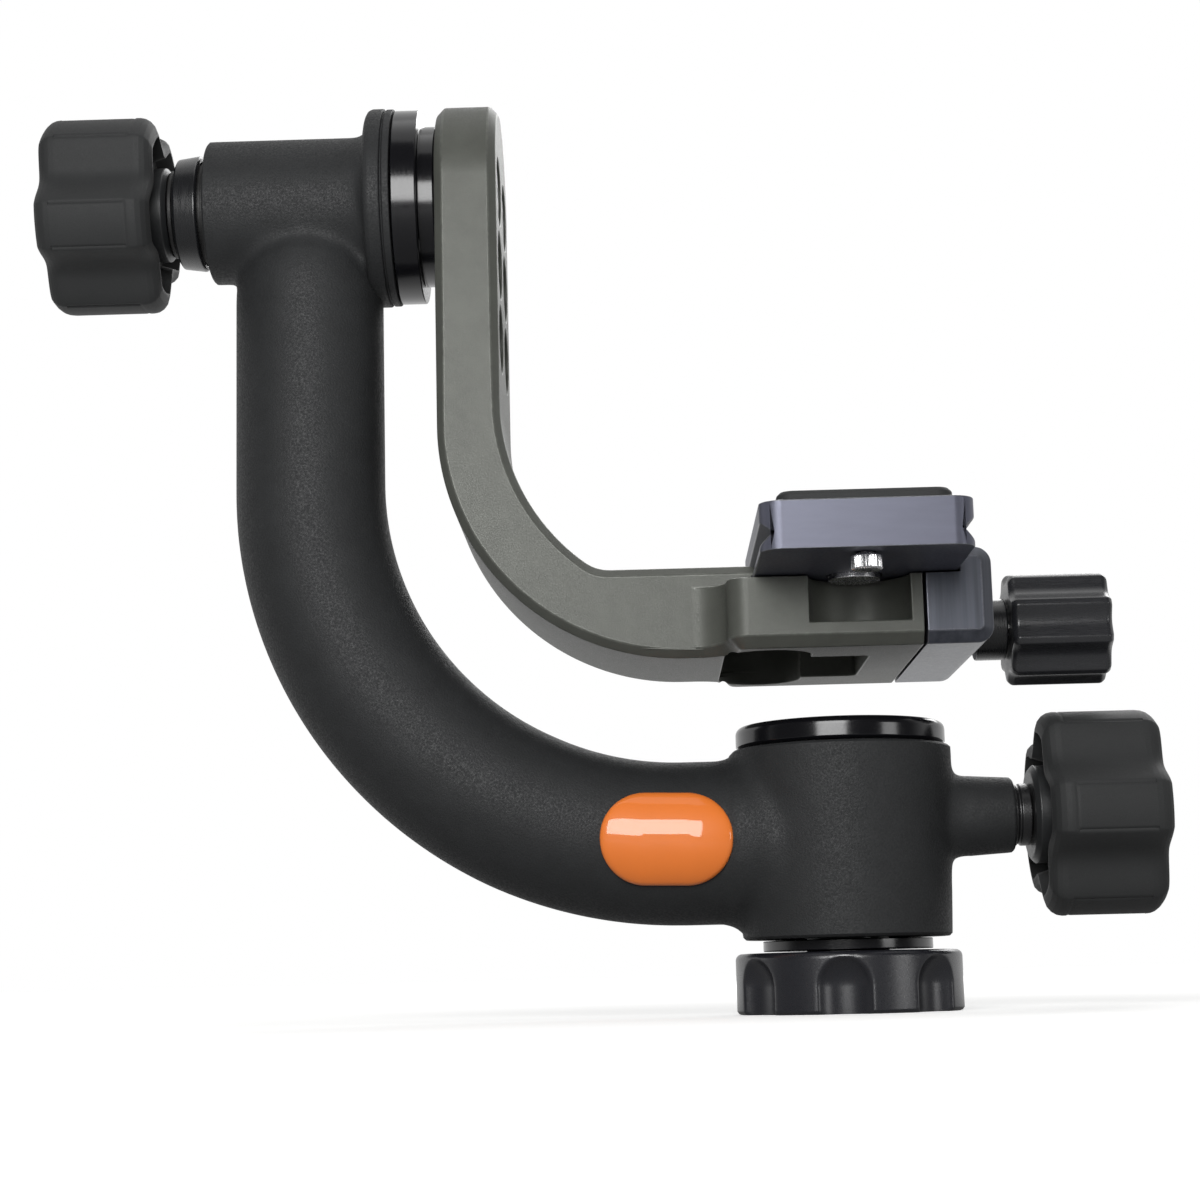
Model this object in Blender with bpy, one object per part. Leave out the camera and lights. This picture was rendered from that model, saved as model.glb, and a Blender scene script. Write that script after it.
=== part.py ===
"""Gimbal tripod head: fluted base, panning cast arm, swing arm on a tilt axis, clamp and plate.

World frame: +Z up, metres. The pan axis is X = Y = 0 and the base stands on Z = 0.
The swing arm hangs to the right of the cast arm, and the camera side is -Y.
"""
import math

import bmesh
import bpy
from mathutils import Vector

for old in list(bpy.data.objects):
    bpy.data.objects.remove(old, do_unlink=True)

MM = 0.001

# clearances shared by all pieces
GAP = 0.3 * MM  # between neighbouring faces
SEAM = 0.05 * MM  # step between two volumes of one casting
REACH = 4.0 * MM  # how far cutting tools stick out
CREASE = math.radians(34.0)  # edges sharper than this stay crisp

# base ring and tripod thread
RING_R = 22.0 * MM
RING_H = 11.7 * MM
RING_EDGE = 1.3 * MM
FLUTE_COUNT = 7
FLUTE_TOOL_R = 6.5 * MM
FLUTE_DEPTH = 3.0 * MM
FLUTE_TOP = 1.5 * MM
FLUTE_TURN = math.radians(-97.0)
BUSH_BORE_R = 4.76 * MM
BUSH_WALL = 1.44 * MM
BUSH_LIFT = 0.6 * MM
BUSH_LONG = 9.6 * MM

# pan spindle
SPINDLE_WALL = 1.5 * MM
NECK_R = 16.5 * MM
NECK_H = 2.0 * MM
SPIGOT_LIFT = 0.5 * MM

# pan housing and top cap: the housing is as tall as the tube that runs into it
HOUSING_R_LOW = 20.3 * MM
HOUSING_R_TOP = 21.8 * MM
HOUSING_EDGE = 0.8 * MM
HOUSING_OVER_TUBE = 0.9 * MM
HOUSING_UNDER_TUBE = 2.3 * MM
CAP_R = 20.6 * MM
CAP_H = 4.4 * MM
CAP_EDGE = 1.5 * MM
CAP_RIM = 4.6 * MM
CAP_DISH = 0.6 * MM
CAP_SCREW_HEAD_R = 4.5 * MM
CAP_SCREW_HEAD_H = 2.4 * MM
CAP_SCREW_R = 2.5 * MM
CAP_SCREW_LONG = 12.0 * MM
SOCKET_R = 2.3 * MM
SOCKET_DEEP = 1.5 * MM
PAN_BEARING_RING = 5.7 * MM
PAN_BEARING_H = 5.0 * MM

# pan lock on the boss
BOSS_DROP = 13.8 * MM
BOSS_R_ROOT = 8.7 * MM
BOSS_R_END = 7.3 * MM
BOSS_END_X = 33.2 * MM
BOSS_FLARE = 2.6 * MM
BOSS_EDGE = 0.6 * MM
LOCK_R = 4.0 * MM
PLUG_LONG = 4.2 * MM
LOCK_TRAVEL = 0.4 * MM
SHOULDER_IN = 3.0 * MM
HUB_STANDOFF = 3.4 * MM

# knobs, the same on both axes
KNOB_R = 20.0 * MM
KNOB_LONG = 23.0 * MM
KNOB_LOBES = 5
KNOB_SCOOP = 3.9 * MM
KNOB_CREST = math.radians(13.5)
KNOB_ROUND = 3.0 * MM
KNOB_RIM = 2.9 * MM
KNOB_WELL = 1.8 * MM
KNOB_HOLLOW = 4.6 * MM
HUB_OUT = 1.7 * MM
HUB_LONG = 19.0 * MM
HUB_EDGE = 0.7 * MM
KNOB_CAP_R = 8.0 * MM
KNOB_CAP_H = 1.0 * MM
KNOB_STUD_LONG = 14.0 * MM
# how far the tilt knob is turned on from a lobe that faces the camera side
TILT_KNOB_TURN = math.radians(22.5)

# cast tube: level run, bend and upright run
TUBE_LEVEL = 31.6 * MM
TUBE_BEND = 73.1 * MM
TUBE_R_UP = 15.0 * MM
TUBE_R_LOW = 16.0 * MM
TUBE_END = 6.0 * MM
TUBE_FLARE = 0.9 * MM
TUBE_FLARE_LONG = 1.8 * MM
TUBE_DOME = 13.0 * MM
TUBE_DOME_DROP = 6.5 * MM

# badge on the tube
BADGE_OFF = 1.25 * MM
BADGE_RISE = 0.2 * MM
BADGE_LONG = 25.4 * MM
BADGE_HIGH = 17.8 * MM
BADGE_THICK = 1.1 * MM

# tilt axis, from the upright tube's centre line outwards
TILT_HOUSING_R = 14.6 * MM
TILT_HOUSING_LEFT = 19.9 * MM
TILT_HOUSING_RIGHT = 12.8 * MM
FLANGE_R = 20.2 * MM
FLANGE_THICK = 5.5 * MM
FLANGE_EDGE = 1.5 * MM
FLANGE_LIP = 1.5 * MM
FLANGE_LIP_STEP = 0.5 * MM
TILT_RING_R = 19.7 * MM
TILT_RING_LONG = 5.0 * MM
TILT_RING_EDGE = 0.6 * MM
STEP_R = 16.3 * MM
STEP_LONG = 3.3 * MM
TILT_SHAFT_R = 7.0 * MM
TILT_BEARING_R = 11.0 * MM
TILT_BEARING_LONG = 5.2 * MM
FRICTION_R = 11.0 * MM
FRICTION_THICK = 0.6 * MM
COLLAR_R = 11.8 * MM
COLLAR_R_END = 10.7 * MM
COLLAR_LONG = 5.3 * MM
COLLAR_EDGE = 0.5 * MM
LOCK_WASHER_R = 9.0 * MM
LOCK_WASHER_THICK = 0.8 * MM

# swing arm
SWING_GAP = 11.8 * MM  # from the top cap up to the arm
ARM_DROP = 97.6 * MM  # from the tilt axis down to the arm's underside
ARM_THICK = 12.4 * MM
ARM_HALF = 20.0 * MM
ARM_EDGE = 1.6 * MM
ARM_RUN = 1.6 * MM
ARM_BEND_STEP = 6.4 * MM
ARM_IN_RISE = 4.5 * MM
ARM_HEEL_R = 8.0 * MM
HOLE_ROWS = 3
HOLE_HEAD_R = 6.9 * MM
HOLE_HEAD_DEEP = 8.4 * MM
HOLE_SHANK_R = 4.3 * MM
HOLE_WALL = 1.6 * MM
HOLE_WEB = 3.2 * MM
BOLT_PLAY = 0.4 * MM
BOLT_HEAD_H = 7.6 * MM
BOLT_LONG = 11.5 * MM
BOLT_SOCKET_R = 3.4 * MM
BOLT_SOCKET_DEEP = 4.0 * MM

# quick-release clamp, centred on the plate
CLAMP_X = 1.7 * MM
CLAMP_WALL = 5.15 * MM
CLAMP_SPLIT = 12.3 * MM
CLAMP_H = 13.3 * MM
CLAMP_STEP = 1.0 * MM
CLAMP_CORNER_R = 4.0 * MM
CLAMP_FILLET_R = 6.5 * MM
CLAMP_EDGE = 2.2 * MM
HOOK_RISE = 4.3 * MM
NOTCH_OFF = 0.5 * MM
NOTCH_WALL = 0.7 * MM
NOTCH_DEEP = 8.8 * MM
POCKET_OUT = 0.4 * MM
POCKET_R = 8.3 * MM
POCKET_END = 5.0 * MM
POCKET_DEEP = 8.5 * MM
SLOT_WALL = 9.0 * MM
SLOT_END = 11.0 * MM
SLOT_CORNER_R = 1.5 * MM
JAW_GAP = 0.6 * MM
JAW_WALL = 6.45 * MM
JAW_RISE = 5.0 * MM
JAW_CORNER_R = 3.2 * MM
JAW_END_EDGE = 2.2 * MM
PIN_R = 1.5 * MM
PIN_Y = 13.0 * MM
PIN_LONG = 10.0 * MM
PIN_IN_JAW = 4.0 * MM
CLAMP_SCREW_UP = 6.6 * MM
CLAMP_SCREW_R = 3.0 * MM
CLAMP_SCREW_TIP = 8.0 * MM
CLAMP_COLLAR_R = 6.1 * MM
CLAMP_COLLAR_LONG = 6.0 * MM
CLAMP_KNOB_R = 11.2 * MM
CLAMP_KNOB_LONG = 19.6 * MM
CLAMP_KNOB_FLUTES = 9
CLAMP_KNOB_SCOOP = 1.5 * MM
CLAMP_KNOB_EDGE = 1.2 * MM
CLAMP_KNOB_RECESS_R = 4.6 * MM
CLAMP_KNOB_RECESS = 2.2 * MM

# quick-release plate
PLATE_HALF = 19.05 * MM
PLATE_H = 8.9 * MM
PLATE_FRONT_Y = -58.0 * MM
PLATE_LONG = 64.0 * MM
PLATE_CORNER_R = 4.0 * MM
GROOVE_UP = 3.2 * MM
GROOVE_DEEP = 2.2 * MM
GROOVE_HIGH = 2.0 * MM
TOOTH_IN = 1.4 * MM
PAD_RIM = 3.35 * MM
PAD_INSET = 3.0 * MM
PAD_H = 2.0 * MM
PAD_CORNER_R = 3.0 * MM
PAD_EDGE = 0.7 * MM
STOP_IN = 6.0 * MM
STOP_HEAD_R = 2.8 * MM
STOP_HEAD_H = 2.9 * MM
STOP_R = 1.5 * MM
STOP_LONG = 5.0 * MM
STOP_SOCKET_R = 1.4 * MM
STOP_SOCKET_DEEP = 1.3 * MM
CAMERA_SCREW_IN = 3.9 * MM  # behind the clamp's front face
CAMERA_SCREW_HEAD_R = 4.9 * MM
CAMERA_SCREW_HEAD_H = 2.2 * MM
CAMERA_SCREW_HANG = 1.0 * MM
CAMERA_SCREW_R = 3.1 * MM
CAMERA_SLOT_WIDE = 1.2 * MM
CAMERA_SLOT_DEEP = 0.9 * MM

# radii that follow from the sizes above
BUSH_R = BUSH_BORE_R + BUSH_WALL
SPINDLE_R = BUSH_R + GAP + SPINDLE_WALL
PAN_BEARING_R = SPINDLE_R + GAP + PAN_BEARING_RING
SHOULDER_R = BOSS_R_END - BOSS_EDGE - 2 * GAP
HUB_R = KNOB_R - KNOB_SCOOP - KNOB_RIM - KNOB_ROUND / 2 - KNOB_WELL - GAP
CAP_DISH_R = CAP_R - CAP_RIM
BOLT_HEAD_R = HOLE_HEAD_R - BOLT_PLAY
BOLT_R = HOLE_SHANK_R - BOLT_PLAY
HOLE_PITCH_Z = 2 * HOLE_HEAD_R + HOLE_WALL
HOLE_PITCH_Y = 2 * HOLE_HEAD_R + HOLE_WEB
CLAMP_HALF = ARM_HALF + CLAMP_FILLET_R + CLAMP_STEP + CLAMP_CORNER_R
NOTCH_R = CAMERA_SCREW_HEAD_R + CAMERA_SCREW_IN + NOTCH_WALL

# heights, from the table up
NECK_Z = RING_H + GAP
HOUSING_Z = NECK_Z + NECK_H + GAP
TUBE_Z = HOUSING_Z + HOUSING_UNDER_TUBE + TUBE_R_LOW + TUBE_FLARE
HOUSING_TOP = TUBE_Z + TUBE_R_LOW + TUBE_FLARE + HOUSING_OVER_TUBE
BOSS_Z = HOUSING_TOP - BOSS_DROP
CAP_Z = HOUSING_TOP + GAP
SPINDLE_TOP = HOUSING_TOP - GAP
ARM_BOTTOM_Z = CAP_Z + CAP_H + SWING_GAP
CLAMP_TOP_Z = ARM_BOTTOM_Z + CLAMP_H
ARM_TOP_Z = CLAMP_TOP_Z + HOOK_RISE
JAW_TOP_Z = CLAMP_TOP_Z + JAW_RISE
CLAMP_SCREW_Z = ARM_BOTTOM_Z + CLAMP_SCREW_UP
NOTCH_Z = CLAMP_TOP_Z - NOTCH_DEEP
PLATE_Z = CLAMP_TOP_Z + GAP
GROOVE_Z = PLATE_Z + GROOVE_UP
TILT_Z = ARM_BOTTOM_Z + ARM_DROP
TUBE_TOP_Z = TILT_Z - TUBE_DOME_DROP
BEND_Z = TUBE_Z + TUBE_BEND

# places along the tilt axis, from the upright tube to the right
TUBE_X = -TUBE_LEVEL - TUBE_BEND
BEND_X = -TUBE_LEVEL
FLANGE_LEFT_X = TUBE_X + TILT_HOUSING_RIGHT
FLANGE_RIGHT_X = FLANGE_LEFT_X + FLANGE_THICK
TILT_RING_RIGHT_X = FLANGE_RIGHT_X + GAP + TILT_RING_LONG
ARM_LEFT_X = TILT_RING_RIGHT_X + STEP_LONG + GAP
ARM_RIGHT_X = ARM_LEFT_X + ARM_THICK

# places along the tilt axis, from the upright tube to the left
TILT_LEFT_X = TUBE_X - TILT_HOUSING_LEFT
FRICTION_X = TILT_LEFT_X - GAP
COLLAR_X = FRICTION_X - FRICTION_THICK - GAP - LOCK_TRAVEL
LOCK_WASHER_X = COLLAR_X - COLLAR_LONG - GAP
TILT_HUB_X = LOCK_WASHER_X - LOCK_WASHER_THICK - GAP
TILT_GRIP_X = TILT_HUB_X - HUB_OUT

# places of the pan knob, clamp and jaw
PAN_HUB_X = BOSS_END_X + HUB_STANDOFF
PAN_GRIP_X = PAN_HUB_X + HUB_OUT
CLAMP_LEFT_X = CLAMP_X - PLATE_HALF - CLAMP_WALL
CLAMP_RIGHT_X = CLAMP_X + CLAMP_SPLIT
JAW_LEFT_X = CLAMP_RIGHT_X + JAW_GAP
JAW_RIGHT_X = CLAMP_X + PLATE_HALF + JAW_WALL
NOTCH_X = CLAMP_X + NOTCH_OFF
POCKET_X = CLAMP_LEFT_X - POCKET_OUT + POCKET_R
POCKET_HALF = CLAMP_HALF - POCKET_END
SLOT_RIGHT_X = CLAMP_RIGHT_X - SLOT_WALL
SLOT_HALF = POCKET_HALF - SLOT_END
STOP_Y = PLATE_FRONT_Y + STOP_IN
CAMERA_SCREW_Y = CAMERA_SCREW_IN - CLAMP_HALF
PAD_HALF = PLATE_HALF - PAD_RIM

# the swing arm's bend fills the room between the tilt axis and the clamp
ARM_OUT_R = CLAMP_LEFT_X - CLAMP_FILLET_R - ARM_RUN - ARM_LEFT_X
ARM_OUT_X = ARM_LEFT_X + ARM_OUT_R
ARM_OUT_Z = ARM_BOTTOM_Z + ARM_OUT_R
ARM_IN_R = ARM_OUT_R - ARM_BEND_STEP
ARM_IN_X = ARM_RIGHT_X + ARM_IN_R
ARM_IN_Z = ARM_OUT_Z + ARM_IN_RISE

# the hooked lips run parallel to the plate's lower flank, a gap above it
FLANK_X = PLATE_HALF + GAP
flank_slope = GROOVE_HIGH / GROOVE_DEEP
flank_lift = GAP * math.sqrt(1 + flank_slope ** 2)
FLANK_Z = GROOVE_Z - GROOVE_HIGH - flank_slope * GAP + flank_lift
TOOTH_Z = GROOVE_Z - GROOVE_HIGH + flank_slope * TOOTH_IN + flank_lift


# building helpers
def finish_mesh(name, verts, faces, merge=0.0):
    """A closed mesh object in world coordinates with outward faces."""
    mesh = bpy.data.meshes.new(name)
    mesh.from_pydata(verts, [], faces)
    work = bmesh.new()
    work.from_mesh(mesh)
    if merge:
        bmesh.ops.remove_doubles(work, verts=work.verts, dist=merge)
        bmesh.ops.dissolve_degenerate(work, edges=work.edges, dist=merge)
    bmesh.ops.recalc_face_normals(work, faces=work.faces)
    if work.calc_volume(signed=True) < 0:
        bmesh.ops.reverse_faces(work, faces=work.faces)
    work.to_mesh(mesh)
    work.free()
    obj = bpy.data.objects.new(name, mesh)
    bpy.context.scene.collection.objects.link(obj)
    return obj


def place(axis, along, a, b, centre):
    """A point from its distance along an axis and two cross offsets."""
    if axis == "X":
        return (centre[0] + along, centre[1] + a, centre[2] + b)
    if axis == "Y":
        return (centre[0] + a, centre[1] + along, centre[2] + b)
    return (centre[0] + a, centre[1] + b, centre[2] + along)


def turned(name, profile, axis="Z", centre=(0, 0, 0), turns=48, shape=None):
    """A turned solid: profile points are (along, radius) or (along, radius, scoop)."""
    verts, rings, faces = [], [], []
    closed = profile[0][1] > 0
    points = list(profile)
    # a flat end is one face, so its centre point is left out
    caps = []
    if not closed and points[0][0] == points[1][0]:
        points = points[1:]
        caps.append(0)
    if not closed and points[-1][0] == points[-2][0]:
        points = points[:-1]
        caps.append(len(points) - 1)
    for point in points:
        along, radius = point[0], point[1]
        scoop = point[2] if len(point) > 2 else 0.0
        if radius <= 0:
            rings.append([len(verts)])
            verts.append(place(axis, along, 0, 0, centre))
            continue
        ring = []
        for k in range(turns):
            angle = 2 * math.pi * k / turns
            here = radius - (scoop * shape(k / turns) if shape else 0)
            ring.append(len(verts))
            verts.append(place(axis, along, here * math.cos(angle), here * math.sin(angle), centre))
        rings.append(ring)
    faces += [tuple(rings[n]) for n in caps]
    pairs = list(zip(rings, rings[1:]))
    if closed:
        pairs.append((rings[-1], rings[0]))
    for low, high in pairs:
        for k in range(turns):
            n = (k + 1) % turns
            if len(low) == 1:
                faces.append((low[0], high[k], high[n]))
            elif len(high) == 1:
                faces.append((low[k], low[n], high[0]))
            else:
                faces.append((low[k], low[n], high[n], high[k]))
    return finish_mesh(name, verts, faces)


def arc(cx, cy, r, start, end, steps):
    """Points on an arc, angles in degrees."""
    out = []
    for k in range(steps + 1):
        a = math.radians(start + (end - start) * k / steps)
        out.append((cx + r * math.cos(a), cy + r * math.sin(a)))
    return out


def inset(outline, amount):
    """The outline moved inwards by an amount, corners mitred."""
    area = sum(p[0] * q[1] - q[0] * p[1] for p, q in zip(outline, outline[1:] + outline[:1]))
    side = 1 if area > 0 else -1
    out = []
    count = len(outline)
    for k in range(count):
        p, q, r = outline[k - 1], outline[k], outline[(k + 1) % count]
        d1 = Vector((q[0] - p[0], q[1] - p[1])).normalized()
        d2 = Vector((r[0] - q[0], r[1] - q[1])).normalized()
        n1, n2 = Vector((-d1.y, d1.x)), Vector((-d2.y, d2.x))
        mid = n1 + n2
        mid = mid / max(mid.dot(n1), 0.3)
        out.append((q[0] + side * amount * mid.x, q[1] + side * amount * mid.y))
    return out


def extruded(name, outline, axis, low, high, edge_low=0.0, edge_high=0.0):
    """A prism on an outline, with an even chamfer at either end."""
    layers = []
    if edge_low:
        layers.append((inset(outline, edge_low), low))
        layers.append((outline, low + edge_low))
    else:
        layers.append((outline, low))
    if edge_high:
        layers.append((outline, high - edge_high))
        layers.append((inset(outline, edge_high), high))
    else:
        layers.append((outline, high))
    count = len(outline)
    verts = [place(axis, at, p[0], p[1], (0, 0, 0)) for loop, at in layers for p in loop]
    faces = [tuple(range(count)), tuple(range(count * (len(layers) - 1), count * len(layers)))]
    for n in range(len(layers) - 1):
        for k in range(count):
            m = (k + 1) % count
            faces.append((n * count + k, n * count + m, (n + 1) * count + m, (n + 1) * count + k))
    return finish_mesh(name, verts, faces)


def rounded_box(cx, cy, half_x, half_y, r, steps=5):
    """A rectangle outline with round corners."""
    out = []
    for sx, sy, start in ((1, 1, 0), (-1, 1, 90), (-1, -1, 180), (1, -1, 270)):
        out += arc(cx + sx * (half_x - r), cy + sy * (half_y - r), r, start, start + 90, steps)
    return out


def joined(name, objects):
    """Several separate solids in one object."""
    work = bmesh.new()
    for obj in objects:
        work.from_mesh(obj.data)
        bpy.data.objects.remove(obj, do_unlink=True)
    mesh = bpy.data.meshes.new(name)
    work.to_mesh(mesh)
    work.free()
    obj = bpy.data.objects.new(name, mesh)
    bpy.context.scene.collection.objects.link(obj)
    return obj


def combine(obj, tool, operation):
    """A boolean with a hidden tool."""
    change = obj.modifiers.new(tool.name, "BOOLEAN")
    change.operation = operation
    change.solver = "EXACT"
    change.object = tool
    tool.hide_render = True
    tool.display_type = "WIRE"
    return obj


def material(name, colour, rough, metal=0.0):
    made = bpy.data.materials.new(name)
    made.use_nodes = True
    shader = made.node_tree.nodes["Principled BSDF"]
    shader.inputs["Base Color"].default_value = (*colour, 1)
    shader.inputs["Roughness"].default_value = rough
    shader.inputs["Metallic"].default_value = metal
    made.diffuse_color = (*colour, 1)
    return made


def dress(obj, look, origin):
    """One material of its own, and the origin on the joint axis."""
    colour, rough, metal = LOOK_VALUES[look]
    obj.data.materials.clear()
    obj.data.materials.append(material(obj.name + "_material", colour, rough, metal))
    shift = Vector(origin)
    for vert in obj.data.vertices:
        vert.co -= shift
    obj.location = shift
    return obj


def bake_and_shade():
    """Every piece as one plain mesh, smooth up to the crease angle, with the cutting tools gone."""
    bpy.context.view_layer.update()
    graph = bpy.context.evaluated_depsgraph_get()
    tools = [obj for obj in bpy.data.objects if obj.hide_render]
    pieces = [obj for obj in bpy.data.objects if not obj.hide_render]
    baked = [bpy.data.meshes.new_from_object(obj.evaluated_get(graph)) for obj in pieces]
    for obj, mesh in zip(pieces, baked):
        obj.modifiers.clear()
        obj.data = mesh
        mesh.name = obj.name
        mesh.shade_smooth()
        mesh.set_sharp_from_angle(angle=CREASE)
    for tool in tools:
        bpy.data.objects.remove(tool, do_unlink=True)


LOOK_VALUES = {
    "cast": ((0.035, 0.037, 0.04), 0.6, 0.2),
    "anodised": ((0.09, 0.09, 0.08), 0.45, 0.6),
    "blue": ((0.06, 0.063, 0.085), 0.35, 0.7),
    "gloss": ((0.012, 0.012, 0.014), 0.18, 0.3),
    "satin": ((0.025, 0.025, 0.028), 0.35, 0.3),
    "rubber": ((0.03, 0.031, 0.033), 0.75, 0.0),
    "badge": ((0.9, 0.19, 0.03), 0.12, 0.0),
    "steel": ((0.6, 0.6, 0.61), 0.25, 1.0),
    "brass": ((0.6, 0.45, 0.2), 0.35, 1.0),
    "nylon": ((0.75, 0.74, 0.7), 0.5, 0.0),
}

PAN = (0, 0, 0)
TILT = (FLANGE_RIGHT_X, 0, TILT_Z)
PAN_LOCK = (BOSS_END_X, 0, BOSS_Z)
TILT_LOCK = (TILT_HUB_X, 0, TILT_Z)
CLAMP = (JAW_LEFT_X, 0, CLAMP_SCREW_Z)
PLATE = (CLAMP_X, 0, PLATE_Z)

# base ring: fluted grip ring, bored for the spindle
ring = turned("base_ring", [
    (0.0, SPINDLE_R + GAP), (RING_H, SPINDLE_R + GAP), (RING_H, RING_R - RING_EDGE),
    (RING_H - RING_EDGE * 0.3, RING_R - RING_EDGE * 0.3), (RING_H - RING_EDGE, RING_R),
    (RING_EDGE * 0.5, RING_R), (0.0, RING_R - RING_EDGE * 0.5)], turns=42)
tools = []
tool_at = RING_R - FLUTE_DEPTH + FLUTE_TOOL_R
arch = math.sqrt(max(FLUTE_TOOL_R ** 2 - (tool_at - RING_R) ** 2, 0.0))
tool_z = RING_H - FLUTE_TOP - arch
for k in range(FLUTE_COUNT):
    a = FLUTE_TURN + 2 * math.pi * k / FLUTE_COUNT
    dome = [(-REACH, 0), (-REACH, FLUTE_TOOL_R)]
    dome += [(tool_z + FLUTE_TOOL_R * math.sin(t),
        FLUTE_TOOL_R * math.cos(t)) for t in [math.radians(v) for v in (0, 22, 45, 68)]]
    dome += [(tool_z + FLUTE_TOOL_R, 0)]
    tools.append(turned("t", dome, centre=(tool_at * math.cos(a), tool_at * math.sin(a), 0), turns=12))
combine(ring, joined("flute_tools", tools), "DIFFERENCE")
dress(ring, "satin", PAN)

# tripod bush: threaded insert for the tripod stud
bush = turned("tripod_bush", [
    (BUSH_LIFT, BUSH_BORE_R), (BUSH_LIFT + BUSH_LONG, BUSH_BORE_R), (BUSH_LIFT + BUSH_LONG, BUSH_R),
    (BUSH_LIFT, BUSH_R)], turns=24)
dress(bush, "brass", PAN)

# pan spindle: spigot in the ring, glossy neck flange, shaft up to the cap
bush_top = BUSH_LIFT + BUSH_LONG + GAP
spindle = turned("pan_spindle", [
    (bush_top, 0), (bush_top, BUSH_R + GAP), (SPIGOT_LIFT, BUSH_R + GAP), (SPIGOT_LIFT, SPINDLE_R),
    (NECK_Z, SPINDLE_R), (NECK_Z, NECK_R), (NECK_Z + NECK_H, NECK_R), (NECK_Z + NECK_H, SPINDLE_R),
    (SPINDLE_TOP, SPINDLE_R), (SPINDLE_TOP, CAP_SCREW_R + GAP),
    (SPINDLE_TOP - CAP_SCREW_LONG, CAP_SCREW_R + GAP), (SPINDLE_TOP - CAP_SCREW_LONG, 0)], turns=32)
dress(spindle, "gloss", PAN)

# pan bearings: one ring low and one high in the housing
for name, at in (("pan_bearing_low", HOUSING_Z + GAP), ("pan_bearing_top",
        HOUSING_TOP - GAP - PAN_BEARING_H)):
    obj = turned(name, [
        (at, SPINDLE_R + GAP), (at + PAN_BEARING_H, SPINDLE_R + GAP),
        (at + PAN_BEARING_H, PAN_BEARING_R), (at, PAN_BEARING_R)], turns=20)
    dress(obj, "steel", PAN)

# top cap and its screw
cap_top = CAP_Z + CAP_H
sink = cap_top - CAP_DISH - CAP_SCREW_HEAD_H - GAP
cap = turned("top_cap", [
    (CAP_Z, CAP_SCREW_R + GAP), (sink, CAP_SCREW_R + GAP), (sink, CAP_SCREW_HEAD_R + GAP),
    (cap_top - CAP_DISH, CAP_SCREW_HEAD_R + GAP), (cap_top - CAP_DISH, CAP_DISH_R - CAP_DISH),
    (cap_top, CAP_DISH_R), (cap_top, CAP_R - CAP_EDGE), (cap_top - CAP_EDGE * 0.3,
    CAP_R - CAP_EDGE * 0.3),
    (cap_top - CAP_EDGE, CAP_R), (CAP_Z + CAP_EDGE * 0.4, CAP_R), (CAP_Z, CAP_R - CAP_EDGE * 0.4)],
    turns=32)
dress(cap, "gloss", PAN)
head_top = sink + GAP + CAP_SCREW_HEAD_H
screw = turned("cap_screw", [
    (head_top - SOCKET_DEEP, 0), (head_top - SOCKET_DEEP, SOCKET_R), (head_top, SOCKET_R),
    (head_top, CAP_SCREW_HEAD_R),
    (sink + GAP, CAP_SCREW_HEAD_R), (sink + GAP, CAP_SCREW_R),
    (SPINDLE_TOP - CAP_SCREW_LONG + GAP, CAP_SCREW_R),
    (SPINDLE_TOP - CAP_SCREW_LONG + GAP, 0)], turns=16)
dress(screw, "steel", PAN)

# main arm: one casting of pan housing, boss, tube, tilt housing and flange
arm = turned("main_arm", [
    (HOUSING_Z, 0), (HOUSING_Z, HOUSING_R_LOW - HOUSING_EDGE), (HOUSING_Z + HOUSING_EDGE, HOUSING_R_LOW),
    (HOUSING_TOP - HOUSING_EDGE, HOUSING_R_TOP), (HOUSING_TOP, HOUSING_R_TOP - HOUSING_EDGE),
    (HOUSING_TOP, 0)], turns=36)

boss_root = HOUSING_R_TOP - BOSS_FLARE
boss = turned("boss_volume", [
    (SPINDLE_R + REACH, 0), (SPINDLE_R + REACH, BOSS_R_ROOT + BOSS_FLARE),
    (boss_root, BOSS_R_ROOT + BOSS_FLARE)]
    + [(boss_root + BOSS_FLARE * (1 + math.sin(t)), BOSS_R_ROOT + BOSS_FLARE * (1 - math.cos(t)))
       for t in [math.radians(v) for v in (-70, -50, -30, -10)]]
    + [(BOSS_END_X - BOSS_EDGE, BOSS_R_END), (BOSS_END_X, BOSS_R_END - BOSS_EDGE), (BOSS_END_X, 0)],
    axis="X", centre=(0, 0, BOSS_Z), turns=24)
combine(arm, boss, "UNION")

# the tube is a row of round sections along the bent centre line
path = []
steps_up, steps_bend = 1, 12
dome_z = TUBE_TOP_Z - TUBE_DOME
for v in (0, 22, 45, 68):
    t = math.radians(v)
    path.append((TUBE_X, dome_z + TUBE_DOME * math.cos(t), 0.0,
        TUBE_R_UP * (0.55 + 0.45 * math.sin(t)) if v else TUBE_R_UP * 0.55))
for k in range(steps_up + 1):
    path.append((TUBE_X, dome_z + (BEND_Z - dome_z) * k / steps_up, 0.0, TUBE_R_UP))
for k in range(1, steps_bend + 1):
    t = math.radians(90 * k / steps_bend)
    part = k / steps_bend
    path.append((BEND_X - TUBE_BEND * math.cos(t), BEND_Z - TUBE_BEND * math.sin(t), t,
                 TUBE_R_UP + (TUBE_R_LOW - TUBE_R_UP) * min(1.0, part * 1.4)))
flare_x = -(HOUSING_R_LOW + HOUSING_R_TOP) / 2 - TUBE_FLARE_LONG * 0.35
path.append((flare_x - TUBE_FLARE_LONG, TUBE_Z, math.pi / 2, TUBE_R_LOW))
for v in (30, 60, 85):
    t = math.radians(v)
    path.append((flare_x - TUBE_FLARE_LONG * (1 - math.sin(t)), TUBE_Z, math.pi / 2,
        TUBE_R_LOW + TUBE_FLARE * (1 - math.cos(t))))
path.append((-TUBE_END, TUBE_Z, math.pi / 2, TUBE_R_LOW + TUBE_FLARE))
tube_turns = 24
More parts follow.
